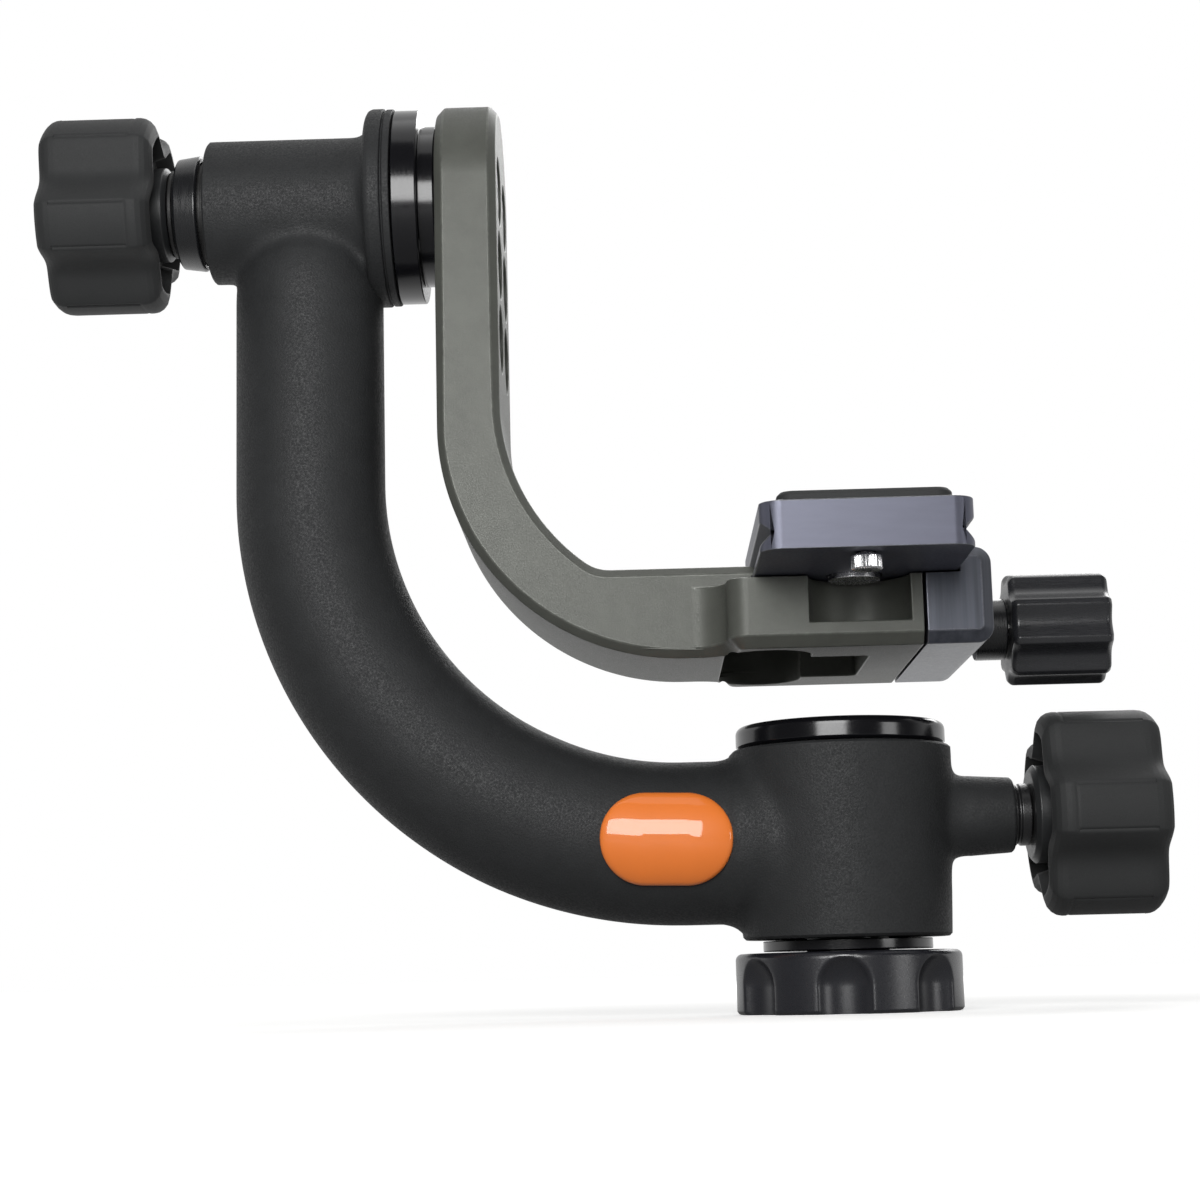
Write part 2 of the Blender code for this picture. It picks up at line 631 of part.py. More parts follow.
verts, faces = [], []
for x, z, lean, r in path:
    # the section's own X direction turns from +X on the upright leg to +Z on the level leg
    for k in range(tube_turns):
        a = 2 * math.pi * k / tube_turns
        u, w = r * math.cos(a), r * math.sin(a)
        verts.append((x + u * math.cos(lean), w, z + u * math.sin(lean)))
for n in range(len(path) - 1):
    for k in range(tube_turns):
        m = (k + 1) % tube_turns
        faces.append((n * tube_turns + k, n * tube_turns + m, (n + 1) * tube_turns + m,
            (n + 1) * tube_turns + k))
faces.append(tuple(range(tube_turns)))
faces.append(tuple(range((len(path) - 1) * tube_turns, len(path) * tube_turns)))
combine(arm, finish_mesh("tube_volume", verts, faces), "UNION")

head = turned("tilt_housing_volume", [
    (TILT_LEFT_X, 0), (TILT_LEFT_X, TILT_HOUSING_R - HOUSING_EDGE),
    (TILT_LEFT_X + HOUSING_EDGE, TILT_HOUSING_R),
    (FLANGE_LEFT_X - FLANGE_EDGE, TILT_HOUSING_R), (FLANGE_LEFT_X - FLANGE_EDGE * 0.3,
    TILT_HOUSING_R + FLANGE_EDGE * 0.3),
    (FLANGE_LEFT_X, TILT_HOUSING_R + FLANGE_EDGE),
    (FLANGE_LEFT_X, FLANGE_R - FLANGE_EDGE), (FLANGE_LEFT_X + FLANGE_EDGE * 0.3,
    FLANGE_R - FLANGE_EDGE * 0.3),
    (FLANGE_LEFT_X + FLANGE_EDGE, FLANGE_R),
    (FLANGE_RIGHT_X - FLANGE_LIP, FLANGE_R), (FLANGE_RIGHT_X - FLANGE_LIP, FLANGE_R - FLANGE_LIP_STEP),
    (FLANGE_RIGHT_X, FLANGE_R - FLANGE_LIP_STEP), (FLANGE_RIGHT_X, 0)],
    axis="X", centre=(0, 0, TILT_Z), turns=32)
combine(arm, head, "UNION")

pan_seat = PAN_BEARING_H + 2 * GAP
pan_bore = turned("pan_bore_tool", [
    (HOUSING_Z - REACH, 0), (HOUSING_Z - REACH, PAN_BEARING_R + GAP),
    (HOUSING_Z + pan_seat, PAN_BEARING_R + GAP),
    (HOUSING_Z + pan_seat, SPINDLE_R + GAP), (HOUSING_TOP - pan_seat, SPINDLE_R + GAP),
    (HOUSING_TOP - pan_seat, PAN_BEARING_R + GAP), (HOUSING_TOP + REACH, PAN_BEARING_R + GAP),
    (HOUSING_TOP + REACH, 0)], turns=24)
combine(arm, pan_bore, "DIFFERENCE")
lock_bore = turned("lock_bore_tool", [
    (SPINDLE_R * 0.5, 0), (SPINDLE_R * 0.5, LOCK_R + GAP), (BOSS_END_X - SHOULDER_IN, LOCK_R + GAP),
    (BOSS_END_X - SHOULDER_IN, SHOULDER_R + GAP), (BOSS_END_X + REACH, SHOULDER_R + GAP),
    (BOSS_END_X + REACH, 0)],
    axis="X", centre=(0, 0, BOSS_Z), turns=16)
combine(arm, lock_bore, "DIFFERENCE")
tilt_seat = TILT_BEARING_LONG + 2 * GAP
tilt_bore = turned("tilt_bore_tool", [
    (TILT_LEFT_X - REACH, 0), (TILT_LEFT_X - REACH, TILT_BEARING_R + GAP),
    (TILT_LEFT_X + tilt_seat, TILT_BEARING_R + GAP),
    (TILT_LEFT_X + tilt_seat, TILT_SHAFT_R + GAP), (FLANGE_RIGHT_X - tilt_seat, TILT_SHAFT_R + GAP),
    (FLANGE_RIGHT_X - tilt_seat, TILT_BEARING_R + GAP), (FLANGE_RIGHT_X + REACH, TILT_BEARING_R + GAP),
    (FLANGE_RIGHT_X + REACH, 0)],
    axis="X", centre=(0, 0, TILT_Z), turns=20)
combine(arm, tilt_bore, "DIFFERENCE")
dress(arm, "cast", PAN)

# badge: plain glossy oval dome that follows the front of the tube
def on_tube(x, z, lift):
    """A point over the camera side of the tube, a lift above its surface."""
    lean = math.asin(max(0.0, min(1.0, (BEND_X - x) / TUBE_BEND)))
    middle = BEND_Z - TUBE_BEND * math.cos(lean)
    off = (z - middle) * math.cos(lean)
    r = TUBE_R_LOW + GAP + lift
    return (x, -math.sqrt(max(r * r - off * off, 0.0)), z)


badge_x = -(HOUSING_R_LOW + HOUSING_R_TOP) / 2 - BADGE_OFF - BADGE_LONG / 2
badge_z = TUBE_Z + BADGE_RISE
half_high = BADGE_HIGH / 2
straight = max(BADGE_LONG / 2 - half_high, 0.0)
rim = 28
faces = []
# shares of the outline's size and of the thickness, from the back edge over the dome
layer_shares = ((0.5, 0.0), (1.0, 0.0), (1.0, 0.5), (0.92, 0.9), (0.55, 1.1))
verts = []
for size, lift in layer_shares:
    for k in range(rim):
        a = 2 * math.pi * (k + 0.5) / rim
        u = (math.copysign(straight, math.cos(a)) + half_high * math.cos(a)) * size
        verts.append(on_tube(badge_x + u, badge_z + half_high * math.sin(a) * size, BADGE_THICK * lift))
verts.append(on_tube(badge_x, badge_z, 0.0))
verts.append(on_tube(badge_x, badge_z, BADGE_THICK * 1.15))
for n in range(len(layer_shares) - 1):
    for k in range(rim):
        m = (k + 1) % rim
        faces.append((n * rim + k, n * rim + m, (n + 1) * rim + m, (n + 1) * rim + k))
last = (len(layer_shares) - 1) * rim
for k in range(rim):
    faces.append((k, (k + 1) % rim, len(verts) - 2))
    faces.append((last + k, last + (k + 1) % rim, len(verts) - 1))
badge = finish_mesh("badge", verts, faces)
dress(badge, "badge", PAN)

# pan lock: brake plug against the spindle
plug_face = SPINDLE_R + GAP + LOCK_TRAVEL
plug = turned("pan_brake_plug", [
    (plug_face, 0), (plug_face, LOCK_R), (plug_face + PLUG_LONG, LOCK_R), (plug_face + PLUG_LONG, 0)],
    axis="X", centre=(0, 0, BOSS_Z), turns=24)
dress(plug, "nylon", PAN_LOCK)


def lobe_shape(part):
    """0 on the crests and up to 1 in the middle of the scoops between them."""
    turn = (part * KNOB_LOBES) % 1.0
    off = min(turn, 1.0 - turn) * 2 * math.pi / KNOB_LOBES
    span = math.pi / KNOB_LOBES - KNOB_CREST
    if off <= KNOB_CREST or span <= 0:
        return 0.0
    t = (off - KNOB_CREST) / span
    return math.sin(t * math.pi / 2) ** 0.8


def knob(prefix, side, grip_x, z, crest):
    """Hub, five-lobed grip and end cap; side is +1 when the knob points to +X."""
    hub_x = grip_x - side * HUB_OUT
    stud_end = hub_x + side * KNOB_STUD_LONG
    hub_end = hub_x + side * HUB_LONG
    # the knob closes in over the stud by the lock travel
    bore_end = stud_end + side * (GAP + LOCK_TRAVEL)
    hub = turned(prefix + "_knob_hub", [
        (bore_end, 0), (bore_end, LOCK_R + GAP), (hub_x, LOCK_R + GAP), (hub_x, HUB_R - HUB_EDGE),
        (hub_x + side * HUB_EDGE, HUB_R), (hub_end, HUB_R), (hub_end, 0)],
        axis="X", centre=(0, 0, z), turns=24)

    def at(along):
        return grip_x + side * along

    deep = HUB_LONG - HUB_OUT + GAP
    far = KNOB_LONG
    full = KNOB_SCOOP
    profile = [
        (at(deep), 0), (at(deep), HUB_R + GAP), (at(KNOB_HOLLOW), HUB_R + GAP),
        (at(KNOB_HOLLOW), KNOB_R - KNOB_RIM - KNOB_ROUND * 0.5, full), (at(0), KNOB_R - KNOB_RIM, full),
        (at(0), KNOB_R - KNOB_ROUND * 0.6, full),
        (at(KNOB_ROUND * 0.3), KNOB_R - KNOB_ROUND * 0.2, full), (at(KNOB_ROUND), KNOB_R, full),
        (at(far - KNOB_ROUND), KNOB_R, full), (at(far - KNOB_ROUND * 0.4), KNOB_R - KNOB_ROUND * 0.25,
        full),
        (at(far - KNOB_ROUND * 0.1), KNOB_R - KNOB_ROUND * 0.65, full),
        (at(far), KNOB_R - KNOB_ROUND * 1.3, full * 0.8),
        (at(far), KNOB_CAP_R + GAP), (at(far - KNOB_CAP_H - GAP), KNOB_CAP_R + GAP),
        (at(far - KNOB_CAP_H - GAP), 0)]
    shift = crest / (2 * math.pi)
    grip = turned(prefix + "_knob_grip", profile, axis="X", centre=(0, 0, z), turns=40,
        shape=lambda part: lobe_shape(part - shift))
    end = turned(prefix + "_knob_cap", [
        (at(far - KNOB_CAP_H), 0), (at(far - KNOB_CAP_H), KNOB_CAP_R),
        (at(far - KNOB_CAP_H * 0.2), KNOB_CAP_R),
        (at(far), KNOB_CAP_R - KNOB_CAP_H * 0.8), (at(far), 0)], axis="X", centre=(0, 0, z), turns=24)
    return hub, grip, end


# pan knob: bolt with a shoulder, hub, grip, end cap
bolt_in = plug_face + PLUG_LONG + GAP
shoulder_x = BOSS_END_X - SHOULDER_IN + GAP + LOCK_TRAVEL
bolt = turned("pan_lock_bolt", [
    (bolt_in, 0), (bolt_in, LOCK_R), (shoulder_x, LOCK_R), (shoulder_x, SHOULDER_R),
    (PAN_HUB_X - GAP, SHOULDER_R),
    (PAN_HUB_X - GAP, LOCK_R), (PAN_HUB_X + KNOB_STUD_LONG, LOCK_R), (PAN_HUB_X + KNOB_STUD_LONG, 0)],
    axis="X", centre=(0, 0, BOSS_Z), turns=20)
dress(bolt, "satin", PAN_LOCK)
# the cross offsets run Y then Z, so a crest at half a turn faces the camera side
hub, grip, end = knob("pan", 1, PAN_GRIP_X, BOSS_Z, math.pi)
dress(hub, "satin", PAN_LOCK)
dress(grip, "rubber", PAN_LOCK)
dress(end, "satin", PAN_LOCK)

# tilt bearings at both ends of the tilt housing
for name, at in (("tilt_bearing_left", TILT_LEFT_X + GAP), ("tilt_bearing_right",
        FLANGE_RIGHT_X - GAP - TILT_BEARING_LONG)):
    obj = turned(name, [
        (at, TILT_SHAFT_R + GAP), (at + TILT_BEARING_LONG, TILT_SHAFT_R + GAP),
        (at + TILT_BEARING_LONG, TILT_BEARING_R), (at, TILT_BEARING_R)], axis="X", centre=(0, 0, TILT_Z),
        turns=24)
    dress(obj, "steel", TILT)

# tilt spindle: black ring, stepped disc, shaft and threaded end in one piece
stud_x = TILT_HUB_X - KNOB_STUD_LONG
shaft_end = COLLAR_X - COLLAR_LONG + GAP + LOCK_TRAVEL
disc_x = ARM_LEFT_X - GAP
tilt = turned("tilt_spindle", [
    (disc_x, 0), (disc_x, STEP_R), (TILT_RING_RIGHT_X, STEP_R),
    (TILT_RING_RIGHT_X, TILT_RING_R - TILT_RING_EDGE),
    (TILT_RING_RIGHT_X - TILT_RING_EDGE, TILT_RING_R), (FLANGE_RIGHT_X + GAP + TILT_RING_EDGE,
    TILT_RING_R),
    (FLANGE_RIGHT_X + GAP, TILT_RING_R - TILT_RING_EDGE), (FLANGE_RIGHT_X + GAP, TILT_SHAFT_R),
    (shaft_end, TILT_SHAFT_R),
    (shaft_end, LOCK_R), (stud_x, LOCK_R), (stud_x, 0)], axis="X", centre=(0, 0, TILT_Z), turns=28)
tools = []
for side in (-1, 1):
    tools.append(turned("t", [
        (ARM_LEFT_X - BOLT_LONG + HOLE_HEAD_DEEP - GAP, 0),
        (ARM_LEFT_X - BOLT_LONG + HOLE_HEAD_DEEP - GAP, BOLT_R + GAP),
        (ARM_LEFT_X + REACH, BOLT_R + GAP), (ARM_LEFT_X + REACH, 0)],
        axis="X", centre=(0, side * HOLE_PITCH_Y / 2, TILT_Z), turns=16))
combine(tilt, joined("tilt_thread_tools", tools), "DIFFERENCE")
dress(tilt, "gloss", TILT)

# tilt lock: friction washer, tapered collar, thrust washer
washer = turned("tilt_friction_washer", [
    (FRICTION_X, TILT_SHAFT_R + GAP), (FRICTION_X - FRICTION_THICK, TILT_SHAFT_R + GAP),
    (FRICTION_X - FRICTION_THICK, FRICTION_R), (FRICTION_X, FRICTION_R)], axis="X",
    centre=(0, 0, TILT_Z), turns=24)
dress(washer, "nylon", TILT)
collar_end = COLLAR_X - COLLAR_LONG
collar = turned("tilt_collar", [
    (COLLAR_X, TILT_SHAFT_R + GAP), (COLLAR_X, COLLAR_R - COLLAR_EDGE),
    (COLLAR_X - COLLAR_EDGE, COLLAR_R),
    (collar_end + COLLAR_EDGE, COLLAR_R_END), (collar_end, COLLAR_R_END - COLLAR_EDGE),
    (collar_end, TILT_SHAFT_R + GAP)],
    axis="X", centre=(0, 0, TILT_Z), turns=24)
dress(collar, "satin", TILT_LOCK)
thrust = turned("tilt_lock_washer", [
    (LOCK_WASHER_X, LOCK_R + GAP), (LOCK_WASHER_X - LOCK_WASHER_THICK, LOCK_R + GAP),
    (LOCK_WASHER_X - LOCK_WASHER_THICK, LOCK_WASHER_R), (LOCK_WASHER_X, LOCK_WASHER_R)],
    axis="X", centre=(0, 0, TILT_Z), turns=24)
dress(thrust, "gloss", TILT_LOCK)
hub, grip, end = knob("tilt", -1, TILT_GRIP_X, TILT_Z, math.pi + TILT_KNOB_TURN)
dress(hub, "satin", TILT_LOCK)
dress(grip, "rubber", TILT_LOCK)
dress(end, "satin", TILT_LOCK)

# swing arm: plate on the tilt axis, bend, level leg into the clamp body
verts, faces = [], []


def section(low_out, low_in, wide_out, wide_in):
    """Eight points of one cross section: outer face, inner face and the chamfers between them.

    low_out and low_in are (x, z) on the outer and inner faces; the wide ones lie at the full width.
    """
    return [
        (*low_out[:2], -low_out[2]), (*wide_out[:2], -wide_out[2]), (*wide_in[:2], -wide_in[2]),
        (*low_in[:2], -low_in[2]),
        (*low_in[:2], low_in[2]), (*wide_in[:2], wide_in[2]), (*wide_out[:2], wide_out[2]),
        (*low_out[:2], low_out[2])]


sections = []
top_steps = 6
e = ARM_EDGE
for k in range(top_steps):
    t = math.radians(90 - 90 * k / top_steps)
    big, small = ARM_HALF, ARM_HALF - e
    zb, zs = TILT_Z + big * math.sin(t), TILT_Z + small * math.sin(t)
    yb, ys = big * math.cos(t), small * math.cos(t)
    sections.append(section((ARM_LEFT_X, zs, ys), (ARM_RIGHT_X, zs, ys), (ARM_LEFT_X + e, zb, yb),
        (ARM_RIGHT_X - e, zb, yb)))
outer = [(ARM_LEFT_X, TILT_Z), (ARM_LEFT_X, (TILT_Z + ARM_OUT_Z) / 2)]
outer += arc(ARM_OUT_X, ARM_OUT_Z, ARM_OUT_R, 180, 270, 14)
inner = [(ARM_RIGHT_X, TILT_Z), (ARM_RIGHT_X, (TILT_Z + ARM_IN_Z) / 2)]
# the inner curve stops where a smaller heel arc, tangent to both, takes over to the level top
heel_z = ARM_TOP_Z + ARM_HEEL_R
drop = ARM_IN_Z - heel_z
reach = math.sqrt(max((ARM_IN_R - ARM_HEEL_R) ** 2 - drop ** 2, 0.0))
heel_x = ARM_IN_X - reach
turn = math.degrees(math.atan2(drop, reach))
inner += arc(ARM_IN_X, ARM_IN_Z, ARM_IN_R, 180, 180 + turn, 10)
inner += arc(heel_x, heel_z, ARM_HEEL_R, 180 + turn, 270, 6)[1:]
last_x = CLAMP_X - PLATE_HALF + GROOVE_DEEP
outer += [(CLAMP_LEFT_X - CLAMP_FILLET_R, ARM_BOTTOM_Z), (last_x, ARM_BOTTOM_Z)]
inner_end = [(CLAMP_LEFT_X - CLAMP_FILLET_R, ARM_TOP_Z), (last_x, ARM_TOP_Z)]
inner += inner_end


def spaced(points, count):
    """Count points at even run along a line of points."""
    runs = [0.0]
    for p, q in zip(points, points[1:]):
        runs.append(runs[-1] + math.dist(p, q))
    out = []
    for k in range(count):
        want = runs[-1] * k / (count - 1)
        n = max(i for i in range(len(runs) - 1) if runs[i] <= want)
        step = runs[n + 1] - runs[n]
        t = (want - runs[n]) / step if step else 0
        out.append(tuple(points[n][i] + (points[n + 1][i] - points[n][i]) * t for i in (0, 1)))
    return out


bend_out, bend_in = outer[1:-1], inner[1:-1]
rows = 17
pairs = [(outer[0], inner[0])] + list(zip(spaced(bend_out, rows), spaced(bend_in, rows))) + [(outer[-1],
    inner[-1])]
for p, q in pairs:
    d = Vector((q[0] - p[0], q[1] - p[1])).normalized() * e
    sections.append(section((p[0], p[1], ARM_HALF - e), (q[0], q[1], ARM_HALF - e),
                            (p[0] + d.x, p[1] + d.y, ARM_HALF), (q[0] - d.x, q[1] - d.y, ARM_HALF)))
for row in sections:
    verts += [(x, y, z) for x, z, y in row]
for n in range(len(sections) - 1):
    for k in range(8):
        m = (k + 1) % 8
        faces.append((n * 8 + k, n * 8 + m, (n + 1) * 8 + m, (n + 1) * 8 + k))
faces.append(tuple(range(8)))
faces.append(tuple(range((len(sections) - 1) * 8, len(sections) * 8)))
swing = finish_mesh("swing_arm", verts, faces, merge=GAP * 0.01)

# the clamp body is wider than the arm and joins it in hollow fillets
f, c = CLAMP_FILLET_R, CLAMP_CORNER_R
plan_right = CLAMP_RIGHT_X + CLAMP_EDGE
plan = [(plan_right, -CLAMP_HALF), (plan_right, CLAMP_HALF)]
plan += arc(CLAMP_LEFT_X + c, CLAMP_HALF - c, c, 90, 180, 5)
plan += [(x, y) for x, y in arc(CLAMP_LEFT_X - f, ARM_HALF + f, f, 0, -90, 6)]
plan += [(CLAMP_LEFT_X - f, ARM_HALF - CLAMP_EDGE * 2), (CLAMP_LEFT_X - f, -ARM_HALF + CLAMP_EDGE * 2)]
plan += [(x, -y) for x, y in arc(CLAMP_LEFT_X - f, ARM_HALF + f, f, 0, -90, 6)][::-1]
plan += [(x, -y) for x, y in arc(CLAMP_LEFT_X + c, CLAMP_HALF - c, c, 90, 180, 5)][::-1]
body = extruded("clamp_body_volume", plan, "Z", ARM_BOTTOM_Z + SEAM, CLAMP_TOP_Z, edge_low=CLAMP_EDGE)
combine(swing, body, "UNION")

# dovetail seat for the plate and flat right end: hooked over the plate's lower flank on the left
left_wall = CLAMP_X - FLANK_X
hook = CLAMP_X - PLATE_HALF + TOOTH_IN
seat_top = ARM_TOP_Z + REACH
seat = [
    (CLAMP_RIGHT_X, ARM_BOTTOM_Z - REACH), (plan_right + REACH, ARM_BOTTOM_Z - REACH),
    (plan_right + REACH, seat_top),
    (hook - (seat_top - TOOTH_Z), seat_top), (hook, TOOTH_Z), (left_wall, FLANK_Z),
    (left_wall, CLAMP_TOP_Z),
    (CLAMP_RIGHT_X, CLAMP_TOP_Z)]
combine(swing, extruded("seat_tool", seat, "Y", -CLAMP_HALF - REACH, CLAMP_HALF + REACH), "DIFFERENCE")

# front notch, underside pocket and slot
notch = [(NOTCH_X - NOTCH_R, -CLAMP_HALF - REACH), (NOTCH_X + NOTCH_R, -CLAMP_HALF - REACH)]
notch += arc(NOTCH_X, -CLAMP_HALF, NOTCH_R, 0, 180, 12)
combine(swing, extruded("notch_tool", notch, "Z", NOTCH_Z, CLAMP_TOP_Z + REACH), "DIFFERENCE")
pocket = arc(POCKET_X, POCKET_HALF - POCKET_R, POCKET_R, 0, 180, 8) + arc(POCKET_X,
    POCKET_R - POCKET_HALF, POCKET_R, 180, 360, 8)
combine(swing, extruded("pocket_tool", pocket, "Z", ARM_BOTTOM_Z - REACH, ARM_BOTTOM_Z + POCKET_DEEP),
    "DIFFERENCE")
slot_left = POCKET_X
slot = rounded_box((slot_left + SLOT_RIGHT_X) / 2, 0, (SLOT_RIGHT_X - slot_left) / 2, SLOT_HALF,
    SLOT_CORNER_R, 3)
combine(swing, extruded("slot_tool", slot, "Z", ARM_BOTTOM_Z - REACH, ARM_BOTTOM_Z + POCKET_DEEP - SEAM),
    "DIFFERENCE")

# six counterbored holes in two columns, the top row on the tilt axis
tools = []
for row in range(HOLE_ROWS):
    for side in (-1, 1):
        tools.append(turned("t", [
            (ARM_LEFT_X - REACH, 0), (ARM_LEFT_X - REACH, HOLE_SHANK_R),
            (ARM_RIGHT_X - HOLE_HEAD_DEEP, HOLE_SHANK_R),
            (ARM_RIGHT_X - HOLE_HEAD_DEEP, HOLE_HEAD_R), (ARM_RIGHT_X + REACH, HOLE_HEAD_R),
            (ARM_RIGHT_X + REACH, 0)],
            axis="X", centre=(0, side * HOLE_PITCH_Y / 2, TILT_Z - row * HOLE_PITCH_Z), turns=16))
combine(swing, joined("arm_hole_tools", tools), "DIFFERENCE")

# bores for the clamp screw and the two guide pins
pin_in = JAW_LEFT_X - (PIN_LONG - PIN_IN_JAW)
tools = [turned("t", [
    (SLOT_RIGHT_X - REACH, 0), (SLOT_RIGHT_X - REACH, CLAMP_SCREW_R + GAP),
    (CLAMP_RIGHT_X + REACH, CLAMP_SCREW_R + GAP), (CLAMP_RIGHT_X + REACH, 0)],
    axis="X", centre=(0, 0, CLAMP_SCREW_Z), turns=16)]
for side in (-1, 1):
    tools.append(turned("t", [
        (pin_in - GAP, 0), (pin_in - GAP, PIN_R + GAP), (CLAMP_RIGHT_X + REACH, PIN_R + GAP),
        (CLAMP_RIGHT_X + REACH, 0)],
        axis="X", centre=(0, side * PIN_Y, CLAMP_SCREW_Z), turns=10))
combine(swing, joined("clamp_bore_tools", tools), "DIFFERENCE")
dress(swing, "anodised", TILT)

# arm bolts: two socket-head bolts in the top row, into the tilt spindle
for name, side in (("arm_bolt_front", -1), ("arm_bolt_back", 1)):
    face = ARM_RIGHT_X - HOLE_HEAD_DEEP + GAP
    obj = turned(name, [
        (face + BOLT_HEAD_H - BOLT_SOCKET_DEEP, 0), (face + BOLT_HEAD_H - BOLT_SOCKET_DEEP,
        BOLT_SOCKET_R),
        (face + BOLT_HEAD_H, BOLT_SOCKET_R), (face + BOLT_HEAD_H, BOLT_HEAD_R), (face, BOLT_HEAD_R),
        (face, BOLT_R),
        (ARM_LEFT_X - BOLT_LONG + HOLE_HEAD_DEEP, BOLT_R), (ARM_LEFT_X - BOLT_LONG + HOLE_HEAD_DEEP, 0)],
        axis="X", centre=(0, side * HOLE_PITCH_Y / 2, TILT_Z), turns=18)
    dress(obj, "steel", TILT)

# clamp jaw: moving right-hand block, chamfered round both ends, then cut to its flat face and hooked lip
right_wall = CLAMP_X + FLANK_X
tip = CLAMP_X + PLATE_HALF - TOOTH_IN
jaw_z = ARM_BOTTOM_Z + SEAM
lip_x = tip + (JAW_TOP_Z + REACH - TOOTH_Z) * 1.3
block_left = JAW_LEFT_X - JAW_END_EDGE
corner_x = JAW_RIGHT_X - JAW_CORNER_R
block = [(block_left, jaw_z)]
block += arc(corner_x, jaw_z + JAW_CORNER_R, JAW_CORNER_R, 270, 360, 5)
block += arc(corner_x, JAW_TOP_Z - JAW_CORNER_R, JAW_CORNER_R, 0, 90, 5)
block += [(block_left, JAW_TOP_Z)]
jaw = extruded("clamp_jaw", block, "Y", -CLAMP_HALF, CLAMP_HALF, JAW_END_EDGE, JAW_END_EDGE)
jaw_seat = [
    (block_left - REACH, jaw_z - REACH), (JAW_LEFT_X, jaw_z - REACH), (JAW_LEFT_X, CLAMP_TOP_Z),
    (right_wall, CLAMP_TOP_Z),
    (right_wall, FLANK_Z), (tip, TOOTH_Z), (lip_x, JAW_TOP_Z + REACH),
    (block_left - REACH, JAW_TOP_Z + REACH)]
combine(jaw, extruded("jaw_seat_tool", jaw_seat, "Y", -CLAMP_HALF - REACH, CLAMP_HALF + REACH),
    "DIFFERENCE")
tools = [turned("t", [
    (JAW_LEFT_X - REACH, 0), (JAW_LEFT_X - REACH, CLAMP_SCREW_R + GAP),
    (JAW_RIGHT_X + REACH, CLAMP_SCREW_R + GAP), (JAW_RIGHT_X + REACH, 0)],
    axis="X", centre=(0, 0, CLAMP_SCREW_Z), turns=16)]
for side in (-1, 1):
    tools.append(turned("t", [
        (JAW_LEFT_X - REACH, 0), (JAW_LEFT_X - REACH, PIN_R + GAP),
        (JAW_LEFT_X + PIN_IN_JAW + GAP, PIN_R + GAP), (JAW_LEFT_X + PIN_IN_JAW + GAP, 0)],
        axis="X", centre=(0, side * PIN_Y, CLAMP_SCREW_Z), turns=10))
combine(jaw, joined("jaw_bore_tools", tools), "DIFFERENCE")
dress(jaw, "blue", CLAMP)

for name, side in (("jaw_pin_front", -1), ("jaw_pin_back", 1)):
    obj = turned(name, [
        (pin_in, 0), (pin_in, PIN_R), (pin_in + PIN_LONG, PIN_R), (pin_in + PIN_LONG, 0)],
        axis="X", centre=(0, side * PIN_Y, CLAMP_SCREW_Z), turns=10)
    dress(obj, "steel", CLAMP)

# clamp screw, collar, fluted knob and the screw in its end
collar_x = JAW_RIGHT_X + GAP
knob_x = collar_x + CLAMP_COLLAR_LONG + GAP
knob_end = knob_x + CLAMP_KNOB_LONG
screw_end = knob_end - CLAMP_KNOB_RECESS - GAP
tip_x = CLAMP_RIGHT_X - CLAMP_SCREW_TIP
thread_r = CLAMP_SCREW_R * 0.55
end_screw_long = CLAMP_KNOB_LONG * 0.3
screw = turned("clamp_screw", [
    (tip_x, 0), (tip_x, CLAMP_SCREW_R - GAP), (tip_x + GAP, CLAMP_SCREW_R),
    (screw_end - GAP, CLAMP_SCREW_R),
    (screw_end - GAP, thread_r + GAP), (screw_end - end_screw_long - GAP, thread_r + GAP),
    (screw_end - end_screw_long - GAP, 0)],
    axis="X", centre=(0, 0, CLAMP_SCREW_Z), turns=16)
dress(screw, "steel", CLAMP)
obj = turned("clamp_collar", [
    (collar_x, CLAMP_SCREW_R + GAP), (collar_x, CLAMP_COLLAR_R),
    (collar_x + CLAMP_COLLAR_LONG, CLAMP_COLLAR_R),
    (collar_x + CLAMP_COLLAR_LONG, CLAMP_SCREW_R + GAP)], axis="X", centre=(0, 0, CLAMP_SCREW_Z),
    turns=20)
dress(obj, "satin", CLAMP)


def flute_shape(part):
    """0 on the ridges and 1 in the middle of the grooves of the clamp knob."""
    turn = (part * CLAMP_KNOB_FLUTES) % 1.0
    return max(0.0, math.sin(math.pi * turn) - 0.25) / 0.75


e = CLAMP_KNOB_EDGE
r = CLAMP_KNOB_R
obj = turned("clamp_knob", [
    (knob_x, CLAMP_SCREW_R + GAP), (knob_x, r - e, CLAMP_KNOB_SCOOP), (knob_x + e, r, CLAMP_KNOB_SCOOP),
    (knob_end - e, r, CLAMP_KNOB_SCOOP), (knob_end, r - e, CLAMP_KNOB_SCOOP),
    (knob_end, CLAMP_KNOB_RECESS_R + GAP), (knob_end - CLAMP_KNOB_RECESS, CLAMP_KNOB_RECESS_R + GAP),
    (knob_end - CLAMP_KNOB_RECESS, CLAMP_SCREW_R + GAP)],
    axis="X", centre=(0, 0, CLAMP_SCREW_Z), turns=45, shape=flute_shape)
dress(obj, "gloss", CLAMP)
head_x = knob_end - CLAMP_KNOB_RECESS + GAP
head_h = CLAMP_KNOB_RECESS - 2 * GAP
obj = turned("clamp_knob_screw", [
    (screw_end - end_screw_long, 0), (screw_end - end_screw_long, thread_r), (head_x, thread_r),
    (head_x, CLAMP_KNOB_RECESS_R),
    (head_x + head_h, CLAMP_KNOB_RECESS_R), (head_x + head_h, SOCKET_R),
    (head_x + head_h * 0.4, SOCKET_R), (head_x + head_h * 0.4, 0)],
    axis="X", centre=(0, 0, CLAMP_SCREW_Z), turns=16)
dress(obj, "steel", CLAMP)

